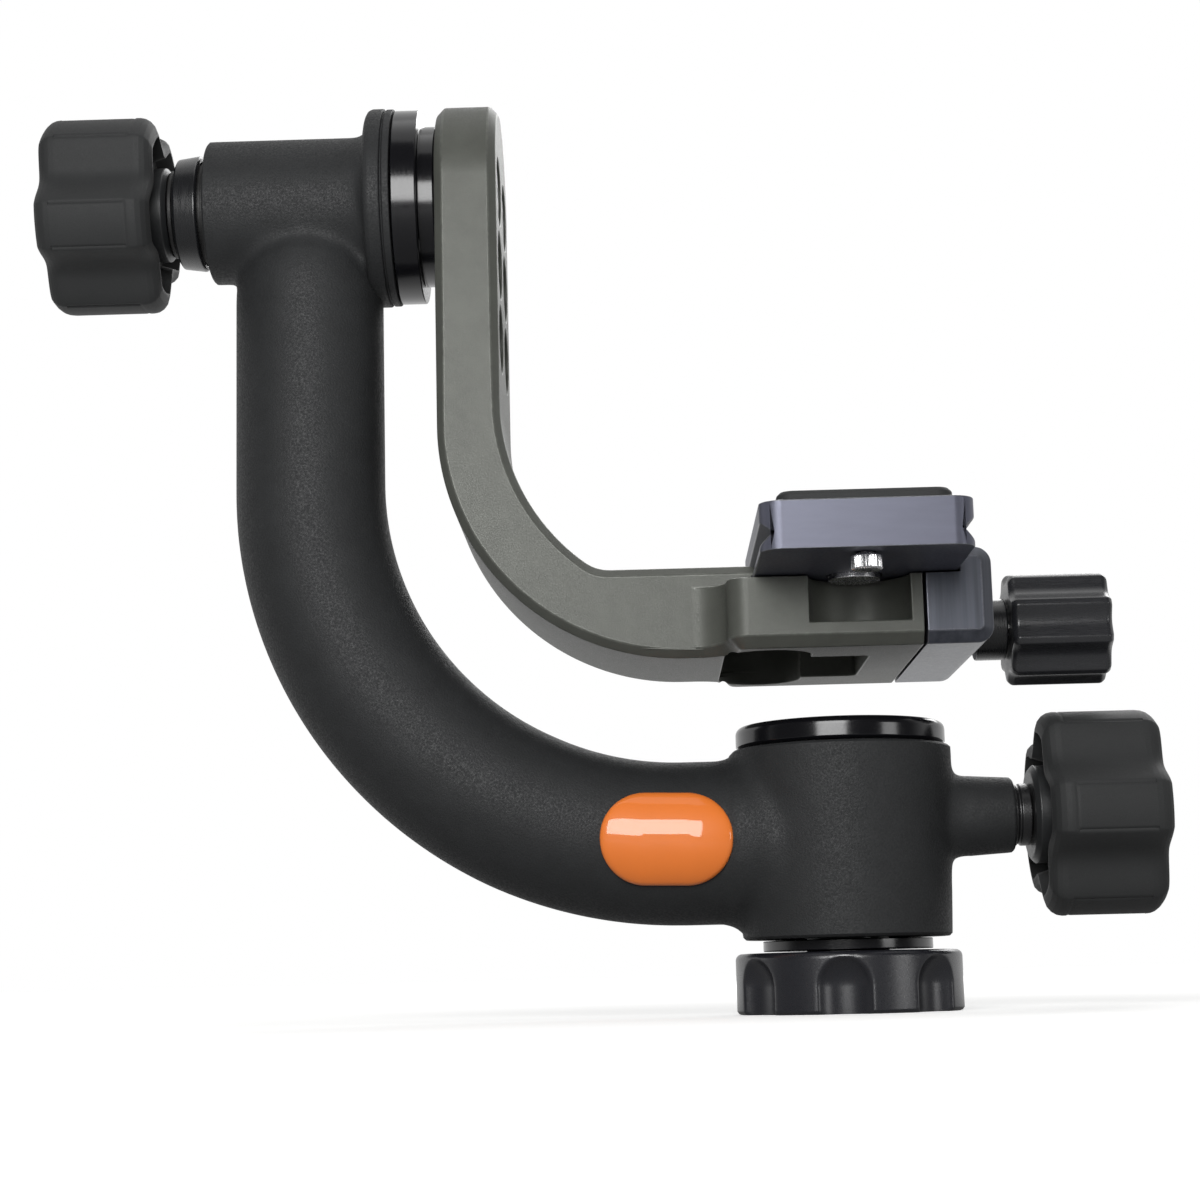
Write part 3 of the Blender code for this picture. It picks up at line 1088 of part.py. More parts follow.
# quick-release plate with V grooves along both sides
h = PLATE_HALF
top = PLATE_Z + PLATE_H
right = [
    (h - SEAM * 4, PLATE_Z), (h, PLATE_Z + SEAM * 4), (h, GROOVE_Z - GROOVE_HIGH),
    (h - GROOVE_DEEP, GROOVE_Z),
    (h, GROOVE_Z + GROOVE_HIGH), (h, top - SEAM * 6), (h - SEAM * 6, top)]
profile = [(CLAMP_X + x, z) for x, z in right] + [(CLAMP_X - x, z) for x, z in right[::-1]]
back_y = PLATE_FRONT_Y + PLATE_LONG
plate = extruded("qr_plate", profile, "Y", PLATE_FRONT_Y, back_y)
mid_y = (PLATE_FRONT_Y + back_y) / 2
trim = rounded_box(CLAMP_X, mid_y, PLATE_HALF + SEAM, PLATE_LONG / 2 - SEAM, PLATE_CORNER_R, 6)
combine(plate, extruded("plate_corner_tool", trim, "Z", PLATE_Z - REACH, top + REACH), "INTERSECT")
recess_z = PLATE_Z - CAMERA_SCREW_HANG + CAMERA_SCREW_HEAD_H + GAP
tools = [turned("t", [
    (PLATE_Z - REACH, 0), (PLATE_Z - REACH, STOP_R + GAP), (PLATE_Z + STOP_LONG + GAP, STOP_R + GAP),
    (PLATE_Z + STOP_LONG + GAP, 0)],
    centre=(CLAMP_X, STOP_Y, 0), turns=16)]
tools.append(turned("t", [
    (PLATE_Z - REACH, 0), (PLATE_Z - REACH, CAMERA_SCREW_HEAD_R + GAP),
    (recess_z, CAMERA_SCREW_HEAD_R + GAP),
    (recess_z, CAMERA_SCREW_R + GAP), (top + REACH, CAMERA_SCREW_R + GAP), (top + REACH, 0)],
    centre=(CLAMP_X, CAMERA_SCREW_Y, 0), turns=20))
combine(plate, joined("plate_hole_tools", tools), "DIFFERENCE")
dress(plate, "blue", PLATE)

# pad on the plate
pad_outline = rounded_box(CLAMP_X, mid_y, PAD_HALF, PLATE_LONG / 2 - PAD_INSET, PAD_CORNER_R, 4)
pad = extruded("qr_pad", pad_outline, "Z", top + GAP, top + GAP + PAD_H, 0.0, PAD_EDGE)
tool = turned("pad_hole_tool", [
    (top - REACH, 0), (top - REACH, CAMERA_SCREW_R + GAP), (top + PAD_H + REACH, CAMERA_SCREW_R + GAP),
    (top + PAD_H + REACH, 0)],
    centre=(CLAMP_X, CAMERA_SCREW_Y, 0), turns=20)
combine(pad, tool, "DIFFERENCE")
dress(pad, "satin", PLATE)

# stop screw under the front of the plate, and the camera screw
head_low = PLATE_Z - GAP - STOP_HEAD_H
obj = turned("stop_screw", [
    (head_low + STOP_SOCKET_DEEP, 0), (head_low + STOP_SOCKET_DEEP, STOP_SOCKET_R),
    (head_low, STOP_SOCKET_R),
    (head_low, STOP_HEAD_R - GAP), (head_low + GAP, STOP_HEAD_R), (PLATE_Z - GAP * 2, STOP_HEAD_R),
    (PLATE_Z - GAP, STOP_HEAD_R - GAP),
    (PLATE_Z - GAP, STOP_R), (PLATE_Z + STOP_LONG, STOP_R), (PLATE_Z + STOP_LONG, 0)],
    centre=(CLAMP_X, STOP_Y, 0), turns=18)
dress(obj, "steel", PLATE)
head_low = PLATE_Z - CAMERA_SCREW_HANG
obj = turned("camera_screw", [
    (head_low, 0), (head_low, CAMERA_SCREW_HEAD_R - GAP), (head_low + GAP, CAMERA_SCREW_HEAD_R),
    (head_low + CAMERA_SCREW_HEAD_H, CAMERA_SCREW_HEAD_R), (head_low + CAMERA_SCREW_HEAD_H,
    CAMERA_SCREW_R),
    (top + GAP, CAMERA_SCREW_R), (top + GAP, 0)], centre=(CLAMP_X, CAMERA_SCREW_Y, 0), turns=20)
slit = [
    (CLAMP_X - CAMERA_SCREW_HEAD_R - REACH, CAMERA_SCREW_Y - CAMERA_SLOT_WIDE / 2),
    (CLAMP_X + CAMERA_SCREW_HEAD_R + REACH, CAMERA_SCREW_Y - CAMERA_SLOT_WIDE / 2),
    (CLAMP_X + CAMERA_SCREW_HEAD_R + REACH, CAMERA_SCREW_Y + CAMERA_SLOT_WIDE / 2),
    (CLAMP_X - CAMERA_SCREW_HEAD_R - REACH, CAMERA_SCREW_Y + CAMERA_SLOT_WIDE / 2)]
combine(obj, extruded("camera_slot_tool", slit, "Z", head_low - REACH, head_low + CAMERA_SLOT_DEEP),
    "DIFFERENCE")
dress(obj, "steel", PLATE)

bake_and_shade()
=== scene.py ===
import math

import bmesh
import bpy
from mathutils import Matrix, Vector


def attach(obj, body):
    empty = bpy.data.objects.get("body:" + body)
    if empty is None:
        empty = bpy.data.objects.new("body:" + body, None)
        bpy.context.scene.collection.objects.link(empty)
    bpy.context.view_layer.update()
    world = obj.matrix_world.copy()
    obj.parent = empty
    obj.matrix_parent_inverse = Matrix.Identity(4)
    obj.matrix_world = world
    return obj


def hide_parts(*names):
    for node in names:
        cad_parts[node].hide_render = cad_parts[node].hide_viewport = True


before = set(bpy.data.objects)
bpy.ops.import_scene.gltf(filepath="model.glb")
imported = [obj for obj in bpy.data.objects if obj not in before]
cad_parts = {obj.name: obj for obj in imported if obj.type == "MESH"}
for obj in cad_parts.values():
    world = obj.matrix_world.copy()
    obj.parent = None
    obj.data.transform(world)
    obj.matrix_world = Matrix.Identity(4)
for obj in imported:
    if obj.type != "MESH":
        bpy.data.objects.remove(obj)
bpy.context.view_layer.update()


# Base ring: a grip ring of turned aluminium, anodised satin black, with seven scoops milled
# into its side from below. It screws onto the tripod's stud and carries the whole head.
mm = 0.001
fit = 0.3 * mm


def drawn(name, rows, closed=False):
    """A body drawn out of a flat ring of points, row by row; each row lists its places."""
    bpy.ops.object.select_all(action="DESELECT")
    bpy.ops.mesh.primitive_circle_add(vertices=len(rows[0]), fill_type="NOTHING" if closed else "NGON")
    piece = bpy.context.object
    piece.name = piece.data.name = name
    bpy.ops.object.mode_set(mode="EDIT")
    bpy.ops.mesh.select_all(action="SELECT")
    for n, row in enumerate(rows):
        if n:
            bpy.ops.mesh.extrude_region_move()
        work = bmesh.from_edit_mesh(piece.data)
        for vert, place in zip([v for v in work.verts if v.select], row):
            vert.co = place
        bmesh.update_edit_mesh(piece.data)
    bpy.ops.mesh.select_all(action="SELECT")
    bpy.ops.mesh.remove_doubles(threshold=0.001 * mm)
    bpy.ops.mesh.normals_make_consistent(inside=False)
    bpy.ops.object.mode_set(mode="OBJECT")
    return piece


def eased(profile, ease, closed):
    """The profile with each corner eased by a short curve."""
    points = [tuple(p) + (0.0,) * (3 - len(p)) for p in profile]
    steps = (0.0, 0.25, 0.5, 0.75, 1.0)
    out = []
    for n, here in enumerate(points):
        if not closed and n in (0, len(points) - 1):
            out.append(here)
            continue
        before, after = points[n - 1], points[(n + 1) % len(points)]
        ends = []
        for other in (before, after):
            run = math.dist(here[:2], other[:2])
            share = min(ease / run, 0.45) if run else 0.0
            ends.append([h + (o - h) * share for h, o in zip(here, other)])
        for t in steps:
            out.append(tuple((1 - t) ** 2 * a + 2 * t * (1 - t) * h + t * t * b
                             for a, h, b in zip(ends[0], here, ends[1])))
    return out


def turned(name, profile, centre=(0, 0, 0), along="Z", sides=96, ease=0.25 * mm, closed=False, shape=None):
    """A piece from the lathe: (distance, radius) points taken round the axis."""
    points = eased(profile, ease, closed)
    if closed:
        points.append(points[0])
    rows = []
    for point in points:
        row = []
        for k in range(sides):
            turn = 2 * math.pi * k / sides
            radius = shape(turn, *point) if shape else point[1]
            across, up = radius * math.cos(turn), radius * math.sin(turn)
            if along == "X":
                row.append((centre[0] + point[0], centre[1] + across, centre[2] + up))
            else:
                row.append((centre[0] + across, centre[1] + up, centre[2] + point[0]))
        rows.append(row)
    return drawn(name, rows, closed)


def alone(piece):
    """Only this piece selected and active."""
    bpy.ops.object.select_all(action="DESELECT")
    piece.select_set(True)
    bpy.context.view_layer.objects.active = piece


def smoothed(piece, angle=35.0):
    """Smooth faces, crisp corners, and flat faces that stay flat."""
    alone(piece)
    bpy.ops.object.shade_smooth_by_angle(angle=math.radians(angle))
    bpy.ops.object.modifier_add(type="WEIGHTED_NORMAL")
    piece.modifiers[-1].keep_sharp = True
    bpy.ops.object.modifier_apply(modifier=piece.modifiers[-1].name)
    return piece


def finish_of(name, colour, rough, metallic=0.0, level=0.5, grain=0.4 * mm, relief=0.01 * mm,
              uneven=0.12, patch=11 * mm, rough_play=0.08, lines=(1, 1, 1), coat=0.0, sheen=0.0):
    """A surface with uneven colour and gloss and a fine relief; lines stretches them all."""
    made = bpy.data.materials.new(name)
    made.use_nodes = True
    nodes, links = made.node_tree.nodes, made.node_tree.links
    shader = nodes["Principled BSDF"]
    shader.inputs["Metallic"].default_value = metallic
    shader.inputs["Specular IOR Level"].default_value = level
    shader.inputs["Coat Weight"].default_value = coat
    shader.inputs["Coat Roughness"].default_value = 0.04
    shader.inputs["Sheen Weight"].default_value = sheen
    shader.inputs["Sheen Roughness"].default_value = 0.5
    stretch = nodes.new("ShaderNodeMapping")
    stretch.inputs["Scale"].default_value = lines
    links.new(nodes.new("ShaderNodeTexCoord").outputs["Object"], stretch.inputs["Vector"])
    clouds = nodes.new("ShaderNodeTexNoise")
    clouds.inputs["Scale"].default_value = 1 / patch
    clouds.inputs["Detail"].default_value = 5.0
    clouds.inputs["Roughness"].default_value = 0.6
    links.new(stretch.outputs["Vector"], clouds.inputs["Vector"])
    tint = nodes.new("ShaderNodeMix")
    tint.data_type = "RGBA"
    tint.inputs["A"].default_value = [c * (1 - uneven * 1.6) for c in colour] + [1]
    tint.inputs["B"].default_value = [c * (1 + uneven * 1.6) for c in colour] + [1]
    links.new(clouds.outputs["Fac"], tint.inputs["Factor"])
    links.new(tint.outputs["Result"], shader.inputs["Base Color"])
    speckle = nodes.new("ShaderNodeTexNoise")
    speckle.inputs["Scale"].default_value = 1 / grain
    speckle.inputs["Detail"].default_value = 2.0
    links.new(stretch.outputs["Vector"], speckle.inputs["Vector"])
    gloss = nodes.new("ShaderNodeMapRange")
    gloss.inputs["From Min"].default_value = 0.3
    gloss.inputs["From Max"].default_value = 0.7
    gloss.inputs["To Min"].default_value = max(rough - rough_play, 0.02)
    gloss.inputs["To Max"].default_value = rough + rough_play
    links.new(speckle.outputs["Fac"], gloss.inputs["Value"])
    links.new(gloss.outputs["Result"], shader.inputs["Roughness"])
    if relief:
        bump = nodes.new("ShaderNodeBump")
        bump.inputs["Distance"].default_value = relief
        links.new(speckle.outputs["Fac"], bump.inputs["Height"])
        links.new(bump.outputs["Normal"], shader.inputs["Normal"])
    return made


def place_piece(piece, finish, body, node):
    """The finish on, if one is given, and the piece on its body in place of the node."""
    if finish:
        piece.data.materials.clear()
        piece.data.materials.append(finish)
    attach(piece, body)
    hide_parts(node)


ring_r, ring_h, ring_edge = 22.0 * mm, 11.7 * mm, 1.3 * mm
scoop_r, scoop_deep, scoop_top, scoops = 6.5 * mm, 3.0 * mm, 1.1 * mm, 7
scoop_turn = math.radians(-97.0)
shaft_r = 8.0 * mm
scoop_at = ring_r - scoop_deep + scoop_r
scoop_z = ring_h - scoop_top - math.sqrt(scoop_r ** 2 - (scoop_at - ring_r) ** 2)


def scooped(turn, distance, radius, unused):
    """The ring's radius at a place, cut back where a round-topped scoop reaches it."""
    if radius < ring_r * 0.6:
        return radius
    off = (turn - scoop_turn) % (2 * math.pi / scoops)
    off = min(off, 2 * math.pi / scoops - off)
    tool = math.sqrt(max(scoop_r ** 2 - max(distance - scoop_z, 0.0) ** 2, 0.0))
    left = tool ** 2 - (scoop_at * math.sin(off)) ** 2
    if left <= 0:
        return radius
    reach = scoop_at * math.cos(off) - math.sqrt(left)
    ease = 0.35 * mm
    return (radius + reach - math.sqrt((radius - reach) ** 2 + ease ** 2)) / 2


side_rows = 30
ring_profile = [(0.0, shaft_r + fit), (ring_h, shaft_r + fit), (ring_h, ring_r - ring_edge * 1.4)]
ring_profile += [(ring_h - ring_edge * (1 - math.cos(math.radians(a))), ring_r - ring_edge * (1 - math.sin(math.radians(a))))
                 for a in (15, 30, 45, 60, 75)]
ring_profile += [(ring_h - ring_edge + (ring_edge * 1.5 - ring_h) * k / side_rows, ring_r) for k in range(side_rows + 1)]
ring_profile += [(0.15 * mm, ring_r - 0.4 * mm), (0.0, ring_r - 0.8 * mm)]
fluted_ring = turned("fluted_ring", ring_profile, sides=420, ease=0.05 * mm, closed=True, shape=scooped)
smoothed(fluted_ring, 50)
satin_black = finish_of("satin_black_anodised", (0.0115, 0.012, 0.0165), 0.3, level=1.0, grain=0.12 * mm,
                        relief=0.0008 * mm, uneven=0.12, patch=2 * mm, rough_play=0.06)
place_piece(fluted_ring, satin_black, "base", "base_ring")

# Tripod bush: a threaded brass insert pressed into the ring from below, for the tripod's stud.
# Its thread is cut as fine grooves round the bore.
bush_in, bush_out = 4.76 * mm, 6.2 * mm
bush_low, bush_top, thread_pitch = 0.6 * mm, 10.2 * mm, 1.5875 * mm
thread = []
turns_in_bush = int((bush_top - bush_low) / thread_pitch)
for k in range(turns_in_bush):
    z = bush_low + 0.3 * mm + k * thread_pitch
    thread += [(z, bush_in), (z + thread_pitch * 0.5, bush_in + 0.55 * mm)]
bush_profile = [(bush_low, bush_in + 0.4 * mm)] + thread + [(bush_top, bush_in), (bush_top, bush_out), (bush_low, bush_out)]
bush = turned("threaded_bush", bush_profile, ease=0.1 * mm, closed=True, sides=72)
smoothed(bush)
brass = finish_of("brass_turned", (0.62, 0.44, 0.19), 0.28, metallic=1.0, grain=0.2 * mm, relief=0.002 * mm, lines=(0.1, 0.1, 1))
place_piece(bush, brass, "base", "tripod_bush")

# Pan spindle: one turned steel shaft with a polished black flange, which shows as a narrow
# shiny neck between the ring and the arm. It runs up through both bearings to the top cap.
neck_z, neck_h, neck_r = 12.0 * mm, 2.0 * mm, 16.5 * mm
spindle_top = 51.0 * mm
neck = turned("pan_neck_and_shaft", [
    (0.5 * mm, 6.5 * mm), (0.5 * mm, shaft_r), (neck_z, shaft_r), (neck_z, neck_r), (neck_z + neck_h, neck_r),
    (neck_z + neck_h, shaft_r), (spindle_top, shaft_r), (spindle_top, 2.8 * mm), (39.0 * mm, 2.8 * mm),
    (39.0 * mm, 0.3 * mm), (10.5 * mm, 0.3 * mm), (10.5 * mm, 6.5 * mm)], ease=0.2 * mm, closed=True, sides=128)
smoothed(neck)
polished_black = finish_of("polished_black_anodised", (0.005, 0.005, 0.0065), 0.17, level=0.6,
                           grain=0.3 * mm, relief=0.0003 * mm, rough_play=0.03)
place_piece(neck, polished_black, "base", "pan_spindle")

# Bearings: two steel rings in the housing of the arm and two in the tilt housing. They are
# hidden inside, so the plain rings stay and only take a ground steel finish.
ground_steel = finish_of("ground_steel", (0.56, 0.57, 0.58), 0.25, metallic=1.0, grain=0.2 * mm, relief=0.001 * mm)
for name in ("pan_bearing_low", "pan_bearing_top", "tilt_bearing_left", "tilt_bearing_right"):
    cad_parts[name].data.materials.clear()
    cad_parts[name].data.materials.append(ground_steel)

# Arm casting: pan housing, boss, bent tube and tilt housing cast in one piece of aluminium
# and powder-coated black. The bodies run into each other in soft hollow fillets.
housing_low, housing_top = 14.3 * mm, 51.3 * mm
housing_r_low, housing_r_top = 20.3 * mm, 21.8 * mm
tube_x, tube_z, tilt_z, bend_r = -104.7 * mm, 33.5 * mm, 165.4 * mm, 73.1 * mm
bend_x, bend_z = -31.6 * mm, 106.6 * mm
tube_r_up, tube_r_low, tube_flare = 15.0 * mm, 16.0 * mm, 0.9 * mm
tilt_left, flange_left, flange_right = -124.6 * mm, -91.9 * mm, -86.4 * mm
tilt_housing_r, flange_r = 14.6 * mm, 20.2 * mm
boss_z, boss_end, boss_r, boss_root_r, boss_sweep = 37.5 * mm, 33.2 * mm, 7.3 * mm, 8.7 * mm, 4.4 * mm

stock = 1.2 * mm
housing = turned("housing_part", [
    (housing_low - stock, 0.3 * mm), (housing_low - stock, housing_r_low), (housing_top + stock, housing_r_top),
    (housing_top + stock, 0.3 * mm)], ease=0.3 * mm)
boss_profile = [(10.0 * mm, boss_root_r + boss_sweep)]
for a in range(-80, 1, 10):
    t = math.radians(a)
    boss_profile.append((housing_r_top - 0.4 * mm + boss_sweep * math.sin(t),
                         boss_root_r + boss_sweep * (1 - math.cos(t)) - (0.6 * mm if a > -40 else 0.0) * (a + 40) / 40))
boss_profile += [(boss_end + stock, boss_r), (boss_end + stock, 0.3 * mm)]
boss = turned("boss_part", boss_profile, centre=(0, 0, boss_z), along="X", ease=0.3 * mm, sides=64)
tube_rows = []
tube_sides = 72


def tube_row(x, z, lean, radius):
    """One round section of the tube; it leans from upright to level."""
    row = []
    for k in range(tube_sides):
        a = 2 * math.pi * k / tube_sides
        u = radius * math.cos(a)
        row.append((x + u * math.cos(lean), radius * math.sin(a), z + u * math.sin(lean)))
    return row


dome_deep, dome_z = 13.0 * mm, 145.9 * mm
for a in range(0, 90, 9):
    t = math.radians(a)
    tube_rows.append(tube_row(tube_x, dome_z + dome_deep * math.cos(t), 0.0, tube_r_up * (0.55 + 0.45 * math.sin(t))))
for k in range(9):
    tube_rows.append(tube_row(tube_x, dome_z + (bend_z - dome_z) * k / 8, 0.0, tube_r_up))
bend_steps = 48
for k in range(1, bend_steps + 1):
    part = k / bend_steps
    lean = math.radians(90 * part)
    swell = min(1.0, part * 1.4)
    tube_rows.append(tube_row(bend_x - bend_r * math.cos(lean), bend_z - bend_r * math.sin(lean), lean,
                              tube_r_up + (tube_r_low - tube_r_up) * swell))
flare_x = -21.7 * mm
for a in (0, 20, 40, 60, 85):
    t = math.radians(a)
    tube_rows.append(tube_row(flare_x - 2.4 * mm * (1 - math.sin(t)), tube_z, math.pi / 2,
                              tube_r_low + tube_flare * (1 - math.cos(t))))
tube_rows.append(tube_row(-6.0 * mm, tube_z, math.pi / 2, tube_r_low + tube_flare))
tube = drawn("tube_part", tube_rows)
tilt_housing = turned("tilt_housing_part", [
    (tilt_left - stock, 0.3 * mm), (tilt_left - stock, tilt_housing_r), (flange_left - 2.2 * mm, tilt_housing_r),
    (flange_left - 0.6 * mm, tilt_housing_r + 0.7 * mm), (flange_left + 0.4 * mm, tilt_housing_r + 2.2 * mm),
    (flange_left + 1.4 * mm, tilt_housing_r + 2.2 * mm), (flange_left + 1.4 * mm, 0.3 * mm)],
    centre=(0, 0, tilt_z), along="X", ease=0.8 * mm)

alone(housing)
for part in (boss, tube, tilt_housing):
    part.select_set(True)
bpy.ops.object.join()
casting = bpy.context.object
casting.name = casting.data.name = "arm_casting"
bpy.ops.object.modifier_add(type="REMESH")
remesh = casting.modifiers[-1]
remesh.mode = "VOXEL"
remesh.voxel_size = 0.7 * mm
bpy.ops.object.modifier_apply(modifier=remesh.name)


def soften(piece, chosen, repeat):
    """Vertices picked by their place are smoothed over and over, which hollows out a fillet."""
    alone(piece)
    bpy.ops.object.mode_set(mode="EDIT")
    bpy.ops.mesh.select_mode(type="VERT")
    bpy.ops.mesh.select_all(action="DESELECT")
    work = bmesh.from_edit_mesh(piece.data)
    for vert in work.verts:
        vert.select = chosen(*vert.co)
    work.select_flush_mode()
    bmesh.update_edit_mesh(piece.data)
    bpy.ops.mesh.vertices_smooth(factor=0.5, repeat=repeat)
    bpy.ops.object.mode_set(mode="OBJECT")


def near_tube_on_tilt_housing(x, y, z):
    reach = 3.0 * mm
    to_tube = abs(math.hypot(x - tube_x, y) - tube_r_up)
    to_housing = abs(math.hypot(y, z - tilt_z) - tilt_housing_r)
    return z < tilt_z and x < flange_left and to_tube < reach and to_housing < reach


def near_tube_on_pan_housing(x, y, z):
    reach = 3.4 * mm
    wide = housing_r_low + (housing_r_top - housing_r_low) * (z - housing_low) / (housing_top - housing_low)
    to_tube = abs(math.hypot(y, z - tube_z) - tube_r_low - tube_flare)
    to_housing = abs(math.hypot(x, y) - wide)
    return x < 0 and housing_low + 1.5 * mm < z < housing_top - 1.5 * mm and to_tube < reach and to_housing < reach


def near_boss_root(x, y, z):
    return x > 8 * mm and math.hypot(y, z - boss_z) < boss_root_r + boss_sweep + 1.5 * mm and \
        abs(math.hypot(x, y) - housing_r_top) < 3.0 * mm


soften(casting, lambda x, y, z: True, 4)
soften(casting, near_tube_on_tilt_housing, 22)
soften(casting, near_tube_on_pan_housing, 30)
soften(casting, near_boss_root, 14)


def combined(piece, tool, operation):
    """One solid cut from, or joined with, another."""
    alone(piece)
    bpy.ops.object.modifier_add(type="BOOLEAN")
    change = piece.modifiers[-1]
    change.operation = operation
    change.solver = "EXACT"
    change.object = tool
    bpy.ops.object.modifier_apply(modifier=change.name)
    bpy.data.objects.remove(tool, do_unlink=True)
    return piece


def together(parts):
    """Separate tools as one, so that one cut does for them all."""
    alone(parts[0])
    for part in parts[1:]:
        part.select_set(True)
    bpy.ops.object.join()
    return bpy.context.object


lip = 1.5 * mm
flange = turned("flange_part", [
    (flange_left, 0.3 * mm), (flange_left, flange_r - 1.2 * mm), (flange_left + 0.5 * mm, flange_r - 0.35 * mm),
    (flange_left + 1.3 * mm, flange_r),
    (flange_right - lip - 0.45 * mm, flange_r), (flange_right - lip - 0.35 * mm, flange_r - 0.7 * mm),
    (flange_right - lip, flange_r - 0.7 * mm), (flange_right - lip + 0.1 * mm, flange_r - 0.15 * mm),
    (flange_right, flange_r - 0.15 * mm), (flange_right, 0.3 * mm)],
    centre=(0, 0, tilt_z), along="X", ease=0.25 * mm, sides=144)
combined(casting, flange, "UNION")
bearing_r = 14.3 * mm
bores = [
    turned("pan_bore", [(housing_low - 3 * mm, 0.3 * mm), (housing_low - 3 * mm, housing_r_low + 2 * mm),
                        (housing_low + 1.0 * mm, housing_r_low + 0.5 * mm), (housing_low, housing_r_low - 0.5 * mm),
                        (housing_low, bearing_r), (housing_low + 5.6 * mm, bearing_r),
                        (housing_low + 5.6 * mm, shaft_r + fit), (housing_top - 5.6 * mm, shaft_r + fit),
                        (housing_top - 5.6 * mm, bearing_r), (housing_top, bearing_r),
                        (housing_top, housing_r_top - 0.6 * mm), (housing_top - 1.0 * mm, housing_r_top + 0.4 * mm),
                        (housing_top + 3 * mm, housing_r_top + 2 * mm), (housing_top + 3 * mm, 0.3 * mm)],
           ease=0.15 * mm, sides=160),
    turned("boss_bore", [(10.0 * mm, 0.3 * mm), (10.0 * mm, 4.3 * mm), (boss_end - 3.0 * mm, 4.3 * mm),
                         (boss_end - 3.0 * mm, 6.4 * mm), (boss_end, 6.4 * mm), (boss_end, boss_r - 0.35 * mm),
                         (boss_end - 0.8 * mm, boss_r + 0.4 * mm), (boss_end + 3 * mm, boss_r + 2 * mm),
                         (boss_end + 3 * mm, 0.3 * mm)],
           centre=(0, 0, boss_z), along="X", ease=0.1 * mm, sides=72),
    turned("tilt_bore", [(tilt_left - 3 * mm, 0.3 * mm), (tilt_left - 3 * mm, tilt_housing_r + 2 * mm),
                         (tilt_left + 0.9 * mm, tilt_housing_r + 0.5 * mm), (tilt_left, tilt_housing_r - 0.4 * mm),
                         (tilt_left, 11.3 * mm), (tilt_left + 5.8 * mm, 11.3 * mm),
                         (tilt_left + 5.8 * mm, 7.3 * mm), (flange_right - 5.8 * mm, 7.3 * mm),
                         (flange_right - 5.8 * mm, 11.3 * mm), (flange_right + mm, 11.3 * mm), (flange_right + mm, 0.3 * mm)],
           centre=(0, 0, tilt_z), along="X", ease=0.1 * mm, sides=128)]
for bore in bores:
    combined(casting, bore, "DIFFERENCE")
alone(casting)
bpy.ops.object.shade_smooth_by_angle(angle=math.radians(38))
powder_coat = finish_of("black_powder_coat", (0.0225, 0.0235, 0.0245), 0.64, level=0.4, grain=0.38 * mm,
                        relief=0.075 * mm, uneven=0.2, patch=5 * mm, rough_play=0.16)
place_piece(casting, powder_coat, "pan", "main_arm")

# Badge: a bare oval of orange sheet under a clear domed resin, glued to the front of the tube
# and bent to its curve. The resin swells over the middle and rolls off at the rim.
badge_x, badge_z = -35.0 * mm, 33.7 * mm
badge_long, badge_high, badge_thick = 25.4 * mm, 17.8 * mm, 1.1 * mm


def over_tube(x, z, lift):
    """A place over the camera side of the tube, a lift above it."""
    lean = math.asin(max(0.0, min(1.0, (bend_x - x) / bend_r)))
    off = (z - bend_z + bend_r * math.cos(lean)) * math.cos(lean)
    radius = tube_r_low + 0.3 * mm + lift
    return (x, -math.sqrt(max(radius ** 2 - off ** 2, 0.0)), z)




def rounded_box(cx, cy, half_x, half_y, r, steps):
    """A rectangle with round corners."""
    out = []
    for sx, sy, start in ((1, 1, 0), (-1, 1, 90), (-1, -1, 180), (1, -1, 270)):
        for k in range(steps + 1):
            a = math.radians(start + 90 * k / steps)
            out.append((cx + sx * (half_x - r) + r * math.cos(a), cy + sy * (half_y - r) + r * math.sin(a)))
    return out


badge_round, badge_lean = 8.75 * mm, math.radians(1.5)
badge_steps = [(3.0, -0.3), (0.02, -0.3), (0.0, 0.08), (0.06, 0.3), (0.2, 0.5), (0.5, 0.68), (0.9, 0.8), (1.4, 0.9),
               (2.0, 1.0), (2.8, 1.1), (3.8, 1.195), (5.0, 1.27), (6.5, 1.33), (8.2, 1.36)]
badge_rows = []
for inward, lift in badge_steps:
    inward *= mm
    outline = rounded_box(0, 0, badge_long / 2 - inward, badge_high / 2 - inward, max(badge_round - inward, 0.05 * mm), 24)
    badge_rows.append([over_tube(badge_x + u * math.cos(badge_lean) + w * math.sin(badge_lean),
                                 badge_z + w * math.cos(badge_lean) - u * math.sin(badge_lean), badge_thick * lift)
                       for u, w in outline])
badge = drawn("badge_dome", badge_rows)
smoothed(badge, 60)
orange_resin = finish_of("orange_under_resin", (0.96, 0.235, 0.035), 0.45, level=0.3, grain=0.6 * mm, relief=0,
                         uneven=0.04, rough_play=0.03, coat=1.0)
place_piece(badge, orange_resin, "pan", "badge")

# Top cap: a turned aluminium disc, polished and anodised gloss black, with a rounded rim and
# a shallow dish. A socket screw in its middle pulls it down on the spindle.
cap_r, cap_low, cap_top, cap_edge = 20.6 * mm, 51.6 * mm, 56.0 * mm, 1.5 * mm
dish_r, dish = 16.0 * mm, 0.6 * mm
cap_profile = [(cap_low, 2.8 * mm), (52.7 * mm, 2.8 * mm), (52.7 * mm, 4.8 * mm), (cap_top - dish, 4.8 * mm),
               (cap_top - dish, dish_r - dish), (cap_top, dish_r)]
cap_profile += [(cap_top - cap_edge * (1 - math.cos(math.radians(a))), cap_r - cap_edge * (1 - math.sin(math.radians(a))))
                for a in (0, 18, 36, 54, 72, 90)]
cap_profile += [(cap_low + 0.5 * mm, cap_r), (cap_low, cap_r - 0.6 * mm)]
cap = turned("polished_top_cap", cap_profile, ease=0.12 * mm, closed=True, sides=160)
smoothed(cap)
place_piece(cap, polished_black, "base", "top_cap")
hex_across = 5.0 * mm


